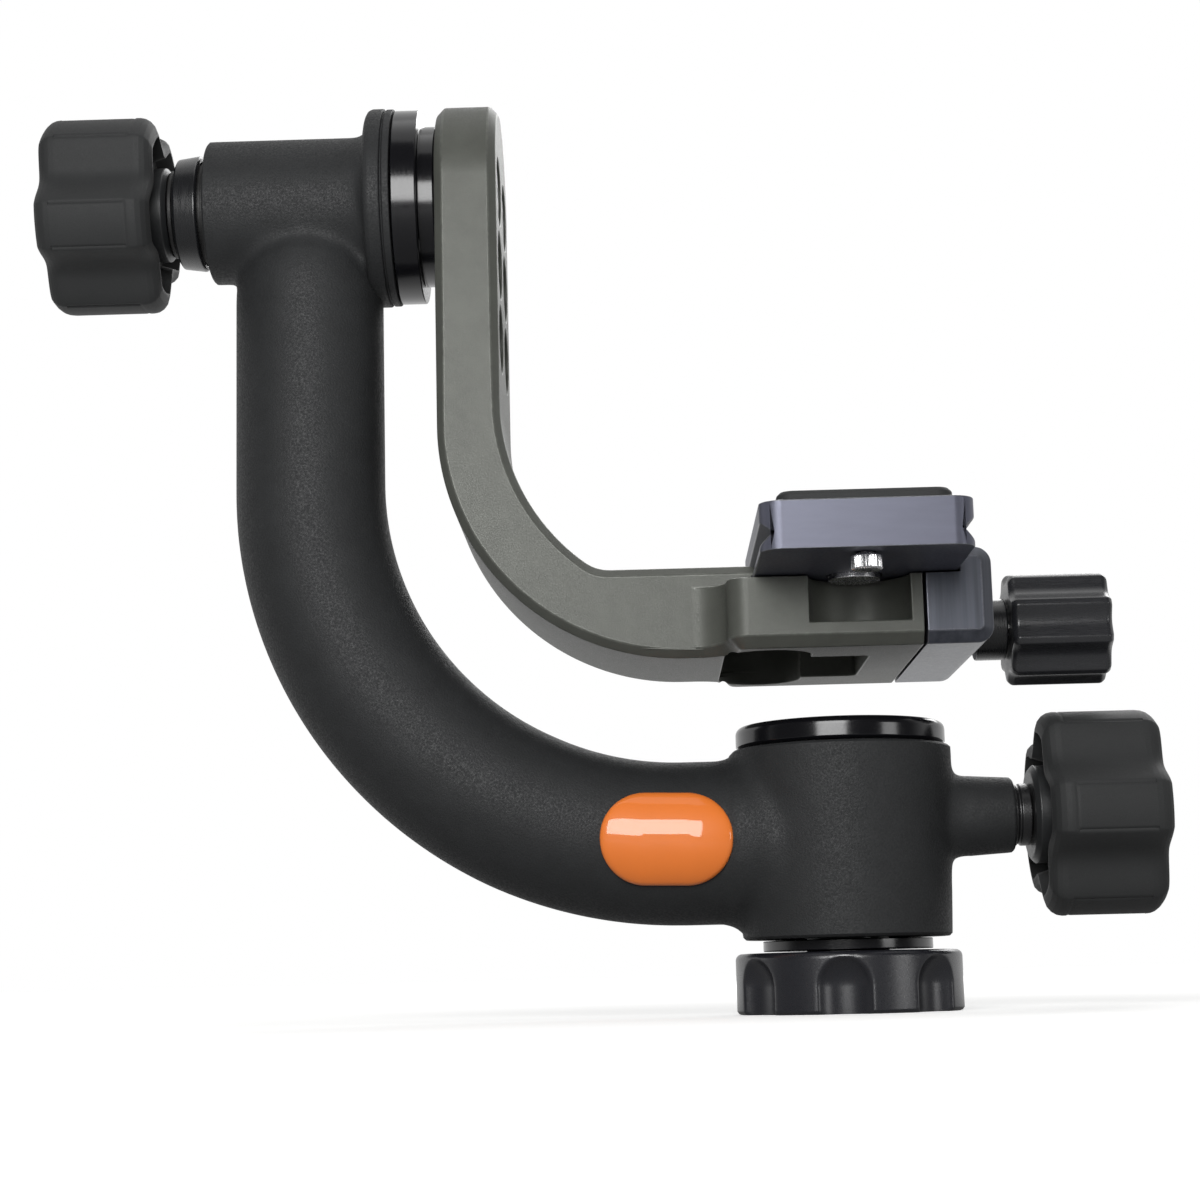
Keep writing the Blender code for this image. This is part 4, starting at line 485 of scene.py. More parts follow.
def socket_screw(name, profile, centre, along, socket_from, socket_to, across, sides=60, shape=None):
    """A turned screw with a six-sided socket cut in its head."""
    made = turned(name, profile, centre=centre, along=along, ease=0.25 * mm, sides=sides, shape=shape)
    corner = across / 2 / math.cos(math.radians(30))
    rows = []
    for at in (socket_from, socket_to):
        row = []
        for k in range(6):
            a = math.radians(60 * k + 30)
            p, q = corner * math.cos(a), corner * math.sin(a)
            if along == "X":
                row.append((centre[0] + at, centre[1] + p, centre[2] + q))
            else:
                row.append((centre[0] + p, centre[1] + q, centre[2] + at))
        rows.append(row)
    combined(made, drawn(name + "_socket", rows), "DIFFERENCE")
    return smoothed(made)


cap_screw = socket_screw("cap_socket_screw", [
    (55.4 * mm, 0.3 * mm), (55.4 * mm, 4.5 * mm), (53.0 * mm, 4.5 * mm), (53.0 * mm, 2.5 * mm), (39.3 * mm, 2.5 * mm),
    (39.3 * mm, 0.3 * mm)], (0, 0, 0), "Z", 53.9 * mm, 56.4 * mm, 4.0 * mm)
plated_steel = finish_of("plated_steel", (0.74, 0.74, 0.75), 0.24, metallic=1.0, grain=0.3 * mm, relief=0.001 * mm,
                         uneven=0.08, rough_play=0.06)
black_steel = finish_of("blackened_steel", (0.012, 0.012, 0.013), 0.34, level=0.7, grain=0.3 * mm, relief=0.002 * mm)
place_piece(cap_screw, black_steel, "base", "cap_screw")

# Pan lock: a steel bolt turns in the boss and pushes a nylon plug against the spindle. Its
# black shoulder shows between the boss and the knob.
nylon = finish_of("white_nylon", (0.72, 0.71, 0.67), 0.5, grain=0.3 * mm, relief=0.003 * mm)
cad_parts["pan_brake_plug"].data.materials.clear()
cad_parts["pan_brake_plug"].data.materials.append(nylon)
shoulder_r, bolt_r, pan_hub_x = 6.1 * mm, 4.0 * mm, 36.6 * mm
bolt = turned("pan_lock_shoulder_bolt", [
    (13.2 * mm, 0.3 * mm), (13.2 * mm, bolt_r), (30.9 * mm, bolt_r), (30.9 * mm, shoulder_r), (33.7 * mm, shoulder_r),
    (33.9 * mm, shoulder_r - 0.35 * mm), (34.3 * mm, shoulder_r - 0.35 * mm), (34.5 * mm, shoulder_r),
    (36.3 * mm, shoulder_r), (36.3 * mm, bolt_r), (50.6 * mm, bolt_r), (50.6 * mm, 0.3 * mm)],
    centre=(0, 0, boss_z), along="X", ease=0.2 * mm)
smoothed(bolt)
place_piece(bolt, black_steel, "pan_knob", "pan_lock_bolt")

# Knobs: two alike, each a moulded hub with a rubber grip of five lobes over it, hollow behind.
# Each crest carries a smooth oblong pad with a fine groove round it, and a flat cap ends it.
knob_r, knob_long, lobes, lobe_scoop = 20.0 * mm, 23.0 * mm, 5, 3.9 * mm
crest_half, hub_r, hub_out, hub_long = math.radians(13.5), 9.6 * mm, 1.7 * mm, 19.0 * mm
grip_round, grip_rim, grip_hollow, end_cap_r = 3.3 * mm, 2.9 * mm, 3.4 * mm, 8.0 * mm
pad_middle, pad_half_long, pad_half_wide, pad_groove = 12.2 * mm, 7.8 * mm, 4.5 * mm, 0.36 * mm


def knob_pieces(prefix, side, grip_x, z, body, turned_on):
    """Hub, rubber grip and end cap of a knob that points along X to this side."""
    def at(along):
        return grip_x + side * along

    def lobed(turn, distance, radius, scoop):
        # the cross offsets run Y then Z, so a crest at half a turn faces the camera
        step = 2 * math.pi / lobes
        off = (turn - math.pi - turned_on) % step
        off = min(off, step - off)
        lift = 0.0
        if off > crest_half:
            t = (off - crest_half) / (step / 2 - crest_half)
            lift = (math.sin(t * math.pi / 2) ** 1.15) * scoop
        groove = 0.0
        if scoop > 0 and radius > knob_r - 0.01 * mm:
            past_end = abs(side * (distance - grip_x) - pad_middle) - pad_half_long
            past_side = off * knob_r - pad_half_wide
            if past_side > past_end:
                groove = pad_groove * max(0.0, 1 - abs(past_side) / (0.42 * mm)) * (past_end < 0)
            else:
                groove = pad_groove * 0.3 * max(0.0, 1 - abs(past_end) / (0.45 * mm)) * (past_side < 0)
        return radius - lift - groove

    face = knob_r - grip_rim
    outside = [(at(0.0), face - 1.0 * mm), (at(0.05 * mm), knob_r - 3.2 * mm), (at(0.5 * mm), knob_r - 1.8 * mm),
               (at(1.3 * mm), knob_r - 0.8 * mm), (at(2.3 * mm), knob_r - 0.2 * mm), (at(3.3 * mm), knob_r)]
    rows_along = 34
    far = knob_long
    start, stop = 3.6 * mm, far - grip_round - 0.3 * mm
    outside += [(at(start + (stop - start) * k / rows_along), knob_r) for k in range(rows_along + 1)]
    outside += [(at(far - grip_round * 0.75), knob_r - 0.12 * mm), (at(far - grip_round * 0.5), knob_r - 0.42 * mm),
                (at(far - grip_round * 0.28), knob_r - 0.98 * mm), (at(far - grip_round * 0.1), knob_r - 1.75 * mm),
                (at(far - grip_round * 0.02), knob_r - 2.7 * mm)]
    profile = [(at(hub_long - hub_out + fit), 0.3 * mm), (at(hub_long - hub_out + fit), hub_r + fit),
               (at(grip_hollow), hub_r + fit), (at(grip_hollow), face - 2.2 * mm, lobe_scoop)]
    profile += [(x, r, lobe_scoop) for x, r in outside]
    profile += [(at(far), knob_r - 4.4 * mm, lobe_scoop * 0.85), (at(far), end_cap_r + 2.5 * mm, lobe_scoop * 0.2),
                (at(far - 0.05 * mm), end_cap_r + fit), (at(far - 1.3 * mm), end_cap_r + fit),
                (at(far - 1.3 * mm), 0.3 * mm)]
    grip = turned(prefix + "_rubber_grip", profile, centre=(0, 0, z), along="X", sides=400, ease=0.12 * mm, shape=lobed)
    smoothed(grip, 45)
    place_piece(grip, rubber, body, prefix + "_knob_grip")
    hub_x = grip_x - side * hub_out
    stud_end = hub_x + side * 14.7 * mm
    hub_end = hub_x + side * hub_long
    hub = turned(prefix + "_moulded_hub", [
        (stud_end, 0.3 * mm), (stud_end, 4.3 * mm), (hub_x, 4.3 * mm), (hub_x, hub_r - 1.0 * mm),
        (hub_x + side * 0.9 * mm, hub_r), (hub_end, hub_r), (hub_end, 0.3 * mm)],
        centre=(0, 0, z), along="X", ease=0.2 * mm, sides=112)
    smoothed(hub)
    place_piece(hub, moulded_black, body, prefix + "_knob_hub")
    cap = turned(prefix + "_end_cap", [
        (at(far - 1.0 * mm), 0.3 * mm), (at(far - 1.0 * mm), end_cap_r), (at(far), end_cap_r),
        (at(far), end_cap_r - 1.2 * mm), (at(far - 0.25 * mm), end_cap_r - 1.6 * mm), (at(far - 0.25 * mm), 0.3 * mm)],
        centre=(0, 0, z), along="X", ease=0.25 * mm, sides=96)
    smoothed(cap)
    place_piece(cap, moulded_black, body, prefix + "_knob_cap")


rubber = finish_of("black_rubber", (0.0265, 0.0275, 0.0280), 0.66, level=0.4, grain=0.2 * mm, relief=0.008 * mm,
                   uneven=0.12, rough_play=0.08, sheen=0.03)
moulded_black = finish_of("moulded_black", (0.020, 0.021, 0.022), 0.4, grain=0.4 * mm, relief=0.012 * mm)
knob_pieces("pan", 1, 38.3 * mm, boss_z, "pan_knob", 0.0)
knob_pieces("tilt", -1, -134.6 * mm, tilt_z, "tilt_knob", math.radians(22.5))

# Tilt spindle: a turned shaft through the tilt housing, with a polished black ring outside
# the flange and a smaller stepped disc that the swing arm is bolted to.
ring_left, ring_right, disc_right = -86.1 * mm, -81.1 * mm, -77.8 * mm
bolt_hole_r, bolt_y = 4.2 * mm, 8.5 * mm
spindle = turned("tilt_ring_and_shaft", [
    (disc_right, 0.3 * mm), (disc_right, 16.3 * mm), (ring_right, 16.3 * mm), (ring_right, 19.7 * mm),
    (ring_left, 19.7 * mm), (ring_left, 7.0 * mm), (-130.8 * mm, 7.0 * mm), (-130.8 * mm, 4.0 * mm),
    (-146.9 * mm, 4.0 * mm), (-146.9 * mm, 0.3 * mm)],
    centre=(0, 0, tilt_z), along="X", ease=0.3 * mm, sides=160)
holes = [turned("bolt_hole", [(-80.9 * mm, 0.3 * mm), (-80.9 * mm, bolt_hole_r), (-77.0 * mm, bolt_hole_r), (-77.0 * mm, 0.3 * mm)],
                centre=(0, y, tilt_z), along="X", ease=0.05 * mm, sides=40) for y in (-bolt_y, bolt_y)]
combined(spindle, together(holes), "DIFFERENCE")
smoothed(spindle)
place_piece(spindle, polished_black, "swing", "tilt_spindle")

# Tilt lock: the knob draws a tapered collar against a thin friction washer on the end of the
# tilt housing, with a thrust washer between knob and collar.
friction = turned("friction_disc", [
    (-124.65 * mm, 7.3 * mm), (-125.5 * mm, 7.3 * mm), (-125.5 * mm, 8.3 * mm), (-126.9 * mm, 8.3 * mm),
    (-126.9 * mm, 10.3 * mm), (-125.5 * mm, 10.3 * mm), (-125.5 * mm, 11.0 * mm), (-124.65 * mm, 11.0 * mm)],
    centre=(0, 0, tilt_z), along="X", ease=0.1 * mm, closed=True)
smoothed(friction)
black_nylon = finish_of("black_nylon", (0.012, 0.012, 0.012), 0.55, grain=0.3 * mm, relief=0.004 * mm)
place_piece(friction, black_nylon, "pan", "tilt_friction_washer")
collar = turned("tapered_collar", [
    (-126.2 * mm, 7.3 * mm), (-126.2 * mm, 8.0 * mm), (-127.5 * mm, 8.0 * mm), (-127.5 * mm, 10.6 * mm),
    (-126.2 * mm, 10.6 * mm), (-126.2 * mm, 11.4 * mm), (-126.6 * mm, 11.8 * mm), (-130.9 * mm, 11.2 * mm),
    (-131.5 * mm, 10.1 * mm), (-131.5 * mm, 7.3 * mm)],
    centre=(0, 0, tilt_z), along="X", ease=0.2 * mm, closed=True, sides=128)
smoothed(collar)
turned_black = finish_of("turned_black", (0.010, 0.0105, 0.012), 0.27, level=0.8, grain=0.2 * mm, relief=0.0008 * mm,
                         rough_play=0.05, lines=(1, 0.06, 0.06))
place_piece(collar, turned_black, "tilt_brake", "tilt_collar")
thrust = turned("thrust_washer", [(-131.8 * mm, 4.3 * mm), (-132.6 * mm, 4.3 * mm), (-132.6 * mm, 9.0 * mm), (-131.8 * mm, 9.0 * mm)],
                centre=(0, 0, tilt_z), along="X", ease=0.2 * mm, closed=True)
smoothed(thrust)
place_piece(thrust, black_nylon, "tilt_brake", "tilt_lock_washer")

# Swing arm: milled from one aluminium bar, blasted and anodised olive grey. A plate with a
# round top and two columns of counterbored holes bends into the level leg and clamp body.
arm_left, arm_right, arm_half, arm_edge = -77.5 * mm, -65.1 * mm, 20.0 * mm, 1.6 * mm
arm_low, arm_top, clamp_top = 67.8 * mm, 85.4 * mm, 81.1 * mm
out_r, out_x, out_z = 46.9 * mm, -30.6 * mm, 114.7 * mm
in_r, in_x, in_z, heel_r = 40.5 * mm, -24.6 * mm, 119.2 * mm, 8.0 * mm
clamp_x, clamp_left, clamp_right, clamp_half = 1.7 * mm, -22.5 * mm, 14.0 * mm, 31.5 * mm
plate_half, clamp_edge, fillet_r, corner_r = 19.05 * mm, 2.2 * mm, 6.5 * mm, 4.0 * mm


def arc(cx, cy, r, start, end, steps):
    """Places on an arc, its angles in degrees."""
    turns = [math.radians(start + (end - start) * k / steps) for k in range(steps + 1)]
    return [(cx + r * math.cos(a), cy + r * math.sin(a)) for a in turns]


def spaced(points, count):
    """Evenly spaced places along a line of points."""
    runs = [0.0]
    for p, q in zip(points, points[1:]):
        runs.append(runs[-1] + math.dist(p, q))
    out = []
    for k in range(count):
        want = runs[-1] * k / (count - 1)
        n = max(i for i in range(len(runs) - 1) if runs[i] <= want)
        step = runs[n + 1] - runs[n]
        t = (want - runs[n]) / step if step else 0
        out.append(tuple(points[n][i] + (points[n + 1][i] - points[n][i]) * t for i in (0, 1)))
    return out


def arm_row(outer, inner, half):
    """Eight places of one section: both faces, the sides and the chamfers between them."""
    (ox, oz), (ix, iz) = outer, inner
    away = Vector((ix - ox, iz - oz)).normalized() * arm_edge
    flat = half - arm_edge if half > arm_edge else half * 0.5
    wide_out, wide_in = (ox + away.x, oz + away.y), (ix - away.x, iz - away.y)
    ring = [((ox, oz), -flat), (wide_out, -half), (wide_in, -half), ((ix, iz), -flat),
            ((ix, iz), flat), (wide_in, half), (wide_out, half), ((ox, oz), flat)]
    return [(x, y, z) for (x, z), y in ring]


arm_rows = []
for k in range(24):
    t = math.radians(88.5 - 88.5 * k / 24)
    high_edge, high_face = tilt_z + arm_half * math.sin(t), tilt_z + (arm_half - arm_edge) * math.sin(t)
    wide, narrow = arm_half * math.cos(t), (arm_half - arm_edge) * math.cos(t)
    arm_rows.append([
        (arm_left, -narrow, high_face), (arm_left + arm_edge, -wide, high_edge), (arm_right - arm_edge, -wide, high_edge),
        (arm_right, -narrow, high_face), (arm_right, narrow, high_face), (arm_right - arm_edge, wide, high_edge),
        (arm_left + arm_edge, wide, high_edge), (arm_left, narrow, high_face)])
heel_z = arm_top + heel_r
heel_x = in_x - math.sqrt((in_r - heel_r) ** 2 - (in_z - heel_z) ** 2)
heel_turn = math.degrees(math.atan2(in_z - heel_z, in_x - heel_x))
leg_x, hook_x = clamp_left - fillet_r, clamp_x - plate_half + 2.2 * mm
bend_out = [(arm_left, (tilt_z + out_z) / 2)] + arc(out_x, out_z, out_r, 180, 270, 60) + [(leg_x, arm_low)]
bend_in = [(arm_right, (tilt_z + in_z) / 2)] + arc(in_x, in_z, in_r, 180, 180 + heel_turn, 40)
bend_in += arc(heel_x, heel_z, heel_r, 180 + heel_turn, 270, 20)[1:] + [(leg_x, arm_top)]
pairs = [((arm_left, tilt_z), (arm_right, tilt_z))] + list(zip(spaced(bend_out, 64), spaced(bend_in, 64)))
pairs.append(((hook_x, arm_low), (hook_x, arm_top)))
arm_rows += [arm_row(p, q, arm_half) for p, q in pairs]
swing = drawn("swing_arm_and_clamp", arm_rows)


def inset(outline, amount):
    """The outline moved inwards, its corners mitred."""
    area = sum(p[0] * q[1] - q[0] * p[1] for p, q in zip(outline, outline[1:] + outline[:1]))
    side = 1 if area > 0 else -1
    out = []
    for k, q in enumerate(outline):
        p, r = outline[k - 1], outline[(k + 1) % len(outline)]
        d1 = Vector((q[0] - p[0], q[1] - p[1])).normalized()
        d2 = Vector((r[0] - q[0], r[1] - q[1])).normalized()
        n1, n2 = Vector((-d1.y, d1.x)), Vector((-d2.y, d2.x))
        mid = (n1 + n2) / max((n1 + n2).dot(n1), 0.3)
        out.append((q[0] + side * amount * mid.x, q[1] + side * amount * mid.y))
    return out


def block(name, outline, along, low, high, edge_low=0.0, edge_high=0.0):
    """A body drawn straight out of an outline, with chamfered ends."""
    layers = [(inset(outline, edge_low), low), (outline, low + edge_low)] if edge_low else [(outline, low)]
    layers += [(outline, high - edge_high), (inset(outline, edge_high), high)] if edge_high else [(outline, high)]
    if along == "Z":
        return drawn(name, [[(p, q, at) for p, q in loop] for loop, at in layers])
    return drawn(name, [[(p, at, q) for p, q in loop] for loop, at in layers])


side_left = clamp_left - fillet_r
corner = arc(clamp_left + corner_r, clamp_half - corner_r, corner_r, 90, 180, 12)
hollow = arc(side_left, arm_half + fillet_r, fillet_r, 0, -90, 16)
plan = [(clamp_right + clamp_edge, -clamp_half), (clamp_right + clamp_edge, clamp_half)] + corner + hollow
buried_x, buried_y = side_left - 3 * mm, arm_half - 5 * mm
plan += [(buried_x, buried_y), (buried_x, -buried_y)] + [(x, -y) for x, y in hollow][::-1] + [(x, -y) for x, y in corner][::-1]
# the lower chamfer grows from the leg's width to the clamp's as it rounds the hollow
cuts = [arm_edge + (clamp_edge - arm_edge) * max(0.0, min(1.0, (x - side_left) / fillet_r)) for x, y in plan]
shrunk = [inset(plan, cut)[n] for n, cut in enumerate(cuts)]
shrunk = [(x, math.copysign(arm_half - arm_edge, y)) if abs(x - side_left) < 0.01 * mm else place
          for (x, y), place in zip(plan, shrunk)]
body_rows = [[(x, y, arm_low) for x, y in shrunk], [(x, y, arm_low + cut) for (x, y), cut in zip(plan, cuts)],
             [(x, y, clamp_top) for x, y in plan]]
combined(swing, drawn("clamp_body_part", body_rows), "UNION")
far = 4.0 * mm
left_wall, hook_tip = clamp_x - plate_half - fit, clamp_x - plate_half + 1.4 * mm
tooth_z, flank_z = 84.28 * mm, 82.73 * mm
seat = [(clamp_right, arm_low - far), (clamp_right + clamp_edge + far, arm_low - far), (clamp_right + clamp_edge + far, arm_top + far),
        (hook_tip - (arm_top + far - tooth_z), arm_top + far), (hook_tip, tooth_z), (left_wall, flank_z),
        (left_wall, clamp_top), (clamp_right, clamp_top)]
combined(swing, block("seat_cut", seat, "Y", -clamp_half - far, clamp_half + far), "DIFFERENCE")
notch_x, notch_r, notch_z = 2.2 * mm, 9.5 * mm, 72.3 * mm
notch = [(notch_x - notch_r, -clamp_half - far), (notch_x + notch_r, -clamp_half - far)] + arc(notch_x, -clamp_half, notch_r, 0, 180, 40)
combined(swing, block("notch_cut", notch, "Z", notch_z, clamp_top + far), "DIFFERENCE")
pocket_x, pocket_r, pocket_half, pocket_z = -14.6 * mm, 8.3 * mm, 26.5 * mm, 76.3 * mm
pocket = arc(pocket_x, pocket_half - pocket_r, pocket_r, 0, 180, 28) + arc(pocket_x, pocket_r - pocket_half, pocket_r, 180, 360, 28)
combined(swing, block("pocket_cut", pocket, "Z", arm_low - far, pocket_z), "DIFFERENCE")
slot_half, slot_right, slot_r = 15.5 * mm, 5.0 * mm, 1.5 * mm
slot = [(pocket_x, -slot_half)] + arc(slot_right - slot_r, slot_r - slot_half, slot_r, 270, 360, 6)
slot += arc(slot_right - slot_r, slot_half - slot_r, slot_r, 0, 90, 6) + [(pocket_x, slot_half)]
combined(swing, block("slot_cut", slot, "Z", arm_low - far, pocket_z - 0.05 * mm), "DIFFERENCE")
hole_rows = (165.4 * mm, 150.0 * mm, 134.6 * mm)
holes = []
for z in hole_rows:
    for y in (-bolt_y, bolt_y):
        holes.append(turned("arm_hole", [
            (arm_left - far, 0.3 * mm), (arm_left - far, 4.3 * mm), (arm_right - 8.4 * mm, 4.3 * mm),
            (arm_right - 8.4 * mm, 6.9 * mm), (arm_right + far, 6.9 * mm), (arm_right + far, 0.3 * mm)],
            centre=(0, y, z), along="X", ease=0.02 * mm, sides=56))
screw_z, screw_r, pin_r, pin_y = 74.4 * mm, 3.0 * mm, 1.5 * mm, 13.0 * mm
for y, r, start in ((0.0, screw_r + fit, slot_right - 2 * mm), (-pin_y, pin_r + fit, 8.3 * mm), (pin_y, pin_r + fit, 8.3 * mm)):
    holes.append(turned("clamp_bore", [(start, 0.3 * mm), (start, r), (clamp_right + far, r), (clamp_right + far, 0.3 * mm)],
                        centre=(0, y, screw_z), along="X", ease=0.02 * mm, sides=32))
combined(swing, together(holes), "DIFFERENCE")


def broken_edges(piece, width, steps=2, angle=32.0, finish=None, edge_wear_and_highlight=None):
    """Every sharp edge broken by a narrow round, coloured paler: partly edge wear, partly a painted highlight."""
    alone(piece)
    piece.data.materials.clear()
    for look in (finish, edge_wear_and_highlight or finish):
        piece.data.materials.append(look)
    for face in piece.data.polygons:
        face.material_index = 0
    bpy.ops.object.mode_set(mode="EDIT")
    bpy.ops.mesh.select_all(action="SELECT")
    bpy.ops.mesh.remove_doubles(threshold=0.02 * mm)
    bpy.ops.mesh.dissolve_limited(angle_limit=math.radians(0.6))
    bpy.ops.object.mode_set(mode="OBJECT")
    bpy.ops.object.modifier_add(type="BEVEL")
    bevel = piece.modifiers[-1]
    bevel.width = width
    bevel.segments = steps
    bevel.limit_method = "ANGLE"
    bevel.angle_limit = math.radians(angle)
    bevel.use_clamp_overlap = False
    bevel.material = 1
    bpy.ops.object.modifier_apply(modifier=bevel.name)
    return smoothed(piece, 40)


olive_anodised = finish_of("olive_grey_anodised", (0.098, 0.102, 0.089), 0.5, metallic=0.2, grain=0.22 * mm,
                           relief=0.008 * mm, uneven=0.14, patch=5 * mm, rough_play=0.12)
# the edge colour is paler: partly wear, partly a painted highlight along the edges
olive_wear_and_highlight = finish_of("olive_grey_edge_wear_and_painted_highlight", (0.125, 0.13, 0.115), 0.42, metallic=0.3, grain=0.22 * mm,
                       relief=0.002 * mm, uneven=0.3, patch=1.5 * mm)
broken_edges(swing, 0.3 * mm, 2, 32.0, olive_anodised, olive_wear_and_highlight)
place_piece(swing, None, "swing", "swing_arm")

# Arm bolts: two black socket-head bolts, sunk in the top row of holes, hold the arm to the
# disc of the tilt spindle.
for name, y, node in (("arm_bolt_near", -bolt_y, "arm_bolt_front"), ("arm_bolt_far", bolt_y, "arm_bolt_back")):
    face = arm_right - 8.4 * mm + fit
    head = face + 7.6 * mm
    made = socket_screw(name, [
        (head, 0.3 * mm), (head, 6.5 * mm), (face, 6.5 * mm), (face, 3.9 * mm), (-80.6 * mm, 3.9 * mm), (-80.6 * mm, 0.3 * mm)],
        (0, y, tilt_z), "X", head - 4.0 * mm, head + mm, 6.0 * mm)
    place_piece(made, black_steel, "swing", node)

# Clamp jaw: a block of aluminium with a brushed front, anodised blue-black, that the clamp
# screw draws against the plate's groove. Two steel pins keep it level.
jaw_left, jaw_right, jaw_top, jaw_low = 14.6 * mm, 27.2 * mm, 86.1 * mm, 67.85 * mm
jaw_corner, jaw_edge = 3.2 * mm, 2.2 * mm
jaw_outline = [(jaw_left - jaw_edge, jaw_low)] + arc(jaw_right - jaw_corner, jaw_low + jaw_corner, jaw_corner, 270, 360, 12)
jaw_outline += arc(jaw_right - jaw_corner, jaw_top - jaw_corner, jaw_corner, 0, 90, 12) + [(jaw_left - jaw_edge, jaw_top)]
jaw = block("brushed_jaw", jaw_outline, "Y", -clamp_half, clamp_half, jaw_edge, jaw_edge)
right_wall, jaw_tip = clamp_x + plate_half + fit, clamp_x + plate_half - 1.4 * mm
jaw_cut = [(jaw_left - jaw_edge - far, jaw_low - far), (jaw_left, jaw_low - far), (jaw_left, clamp_top), (right_wall, clamp_top),
           (right_wall, flank_z), (jaw_tip, tooth_z), (jaw_tip + (jaw_top + far - tooth_z) * 1.3, jaw_top + far),
           (jaw_left - jaw_edge - far, jaw_top + far)]
combined(jaw, block("jaw_seat_cut", jaw_cut, "Y", -clamp_half - far, clamp_half + far), "DIFFERENCE")
holes = []
for y, r, stop in ((0.0, screw_r + fit, jaw_right + far), (-pin_y, pin_r + fit, jaw_left + 4.3 * mm),
                   (pin_y, pin_r + fit, jaw_left + 4.3 * mm)):
    holes.append(turned("jaw_bore", [(jaw_left - far, 0.3 * mm), (jaw_left - far, r), (stop, r), (stop, 0.3 * mm)],
                        centre=(0, y, screw_z), along="X", ease=0.02 * mm, sides=32))
combined(jaw, together(holes), "DIFFERENCE")
blue_black = finish_of("blue_black_brushed", (0.080, 0.086, 0.106), 0.36, metallic=0.5, grain=0.15 * mm,
                       relief=0.0008 * mm, uneven=0.42, patch=1.6 * mm, rough_play=0.08, lines=(1, 1, 0.03))
# the edge colour is paler: partly wear, partly a painted highlight along the edges
blue_black_wear_and_highlight = finish_of("blue_black_edge_wear_and_painted_highlight", (0.145, 0.15, 0.175), 0.34, metallic=0.6, grain=0.2 * mm,
                        relief=0.001 * mm, uneven=0.3, patch=1.5 * mm)
broken_edges(jaw, 0.22 * mm, 2, 32.0, blue_black, blue_black_wear_and_highlight)
place_piece(jaw, None, "jaw", "clamp_jaw")
for name in ("jaw_pin_front", "jaw_pin_back"):
    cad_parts[name].data.materials.clear()
    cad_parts[name].data.materials.append(ground_steel)

# Clamp screw and knob: a steel screw through the jaw, a plain collar, and a fluted knob of
# polished black aluminium held on by a socket screw in its recessed end.
steel_screw = turned("clamp_screw_shaft", [
    (6.0 * mm, 0.3 * mm), (6.0 * mm, screw_r - 0.4 * mm), (6.5 * mm, screw_r), (50.6 * mm, screw_r), (50.6 * mm, 1.95 * mm),
    (44.7 * mm, 1.95 * mm), (44.7 * mm, 0.3 * mm)], centre=(0, 0, screw_z), along="X", ease=0.1 * mm, sides=48)
smoothed(steel_screw)
place_piece(steel_screw, plated_steel, "jaw_knob", "clamp_screw")
clamp_collar = turned("clamp_knob_collar", [(27.5 * mm, 3.3 * mm), (27.5 * mm, 6.1 * mm), (33.5 * mm, 6.1 * mm), (33.5 * mm, 3.3 * mm)],
                      centre=(0, 0, screw_z), along="X", ease=0.35 * mm, closed=True)
smoothed(clamp_collar)
place_piece(clamp_collar, turned_black, "jaw_knob", "clamp_collar")
knob_left, knob_right, clamp_knob_r, flutes, flute_deep = 33.8 * mm, 53.4 * mm, 11.2 * mm, 9, 1.5 * mm


def fluted(turn, distance, radius, deep):
    """The knob's radius, scooped between narrow ridges."""
    part = (turn * flutes / (2 * math.pi)) % 1.0
    return radius - deep * max(0.0, math.sin(math.pi * part) - 0.25) / 0.75


clamp_knob = turned("fluted_clamp_knob", [
    (knob_left, 3.3 * mm), (knob_left, clamp_knob_r - 0.9 * mm, flute_deep), (knob_left + 0.9 * mm, clamp_knob_r, flute_deep),
    (knob_right - 0.9 * mm, clamp_knob_r, flute_deep), (knob_right, clamp_knob_r - 0.9 * mm, flute_deep),
    (knob_right, 4.9 * mm), (knob_right - 2.2 * mm, 4.9 * mm), (knob_right - 2.2 * mm, 3.3 * mm)],
    centre=(0, 0, screw_z), along="X", ease=0.5 * mm, closed=True, sides=360, shape=fluted)
smoothed(clamp_knob, 40)
drawn_black = finish_of("drawn_black_anodised", (0.019, 0.0195, 0.0225), 0.3, level=0.9, grain=0.15 * mm,
                        relief=0.0006 * mm, uneven=0.15, patch=1.2 * mm, rough_play=0.06, lines=(0.05, 1, 1))
place_piece(clamp_knob, drawn_black, "jaw_knob", "clamp_knob")
end_screw = socket_screw("clamp_knob_end_screw", [
    (knob_right - fit, 0.3 * mm), (knob_right - fit, 4.6 * mm), (knob_right - 1.9 * mm, 4.6 * mm),
    (knob_right - 1.9 * mm, 1.65 * mm), (45.0 * mm, 1.65 * mm), (45.0 * mm, 0.3 * mm)],
    (0, 0, screw_z), "X", knob_right - 1.6 * mm, knob_right + mm, 3.0 * mm)
place_piece(end_screw, black_steel, "jaw_knob", "clamp_knob_screw")

# Dovetail plate: an extruded bar with a V groove along both sides, cut to length, anodised
# blue-black, and drilled for its stop screw and the camera screw.
plate_low, plate_top, plate_front, plate_back = 81.4 * mm, 90.3 * mm, -58.0 * mm, 6.0 * mm
groove_z, groove_high, groove_deep = 84.6 * mm, 2.0 * mm, 2.2 * mm
half = [(plate_half, plate_low), (plate_half, groove_z - groove_high), (plate_half - groove_deep, groove_z),
        (plate_half, groove_z + groove_high), (plate_half, plate_top)]
plate_outline = [(clamp_x + x, z) for x, z in half] + [(clamp_x - x, z) for x, z in half[::-1]]
plate = block("dovetail_plate", plate_outline, "Y", plate_front, plate_back)


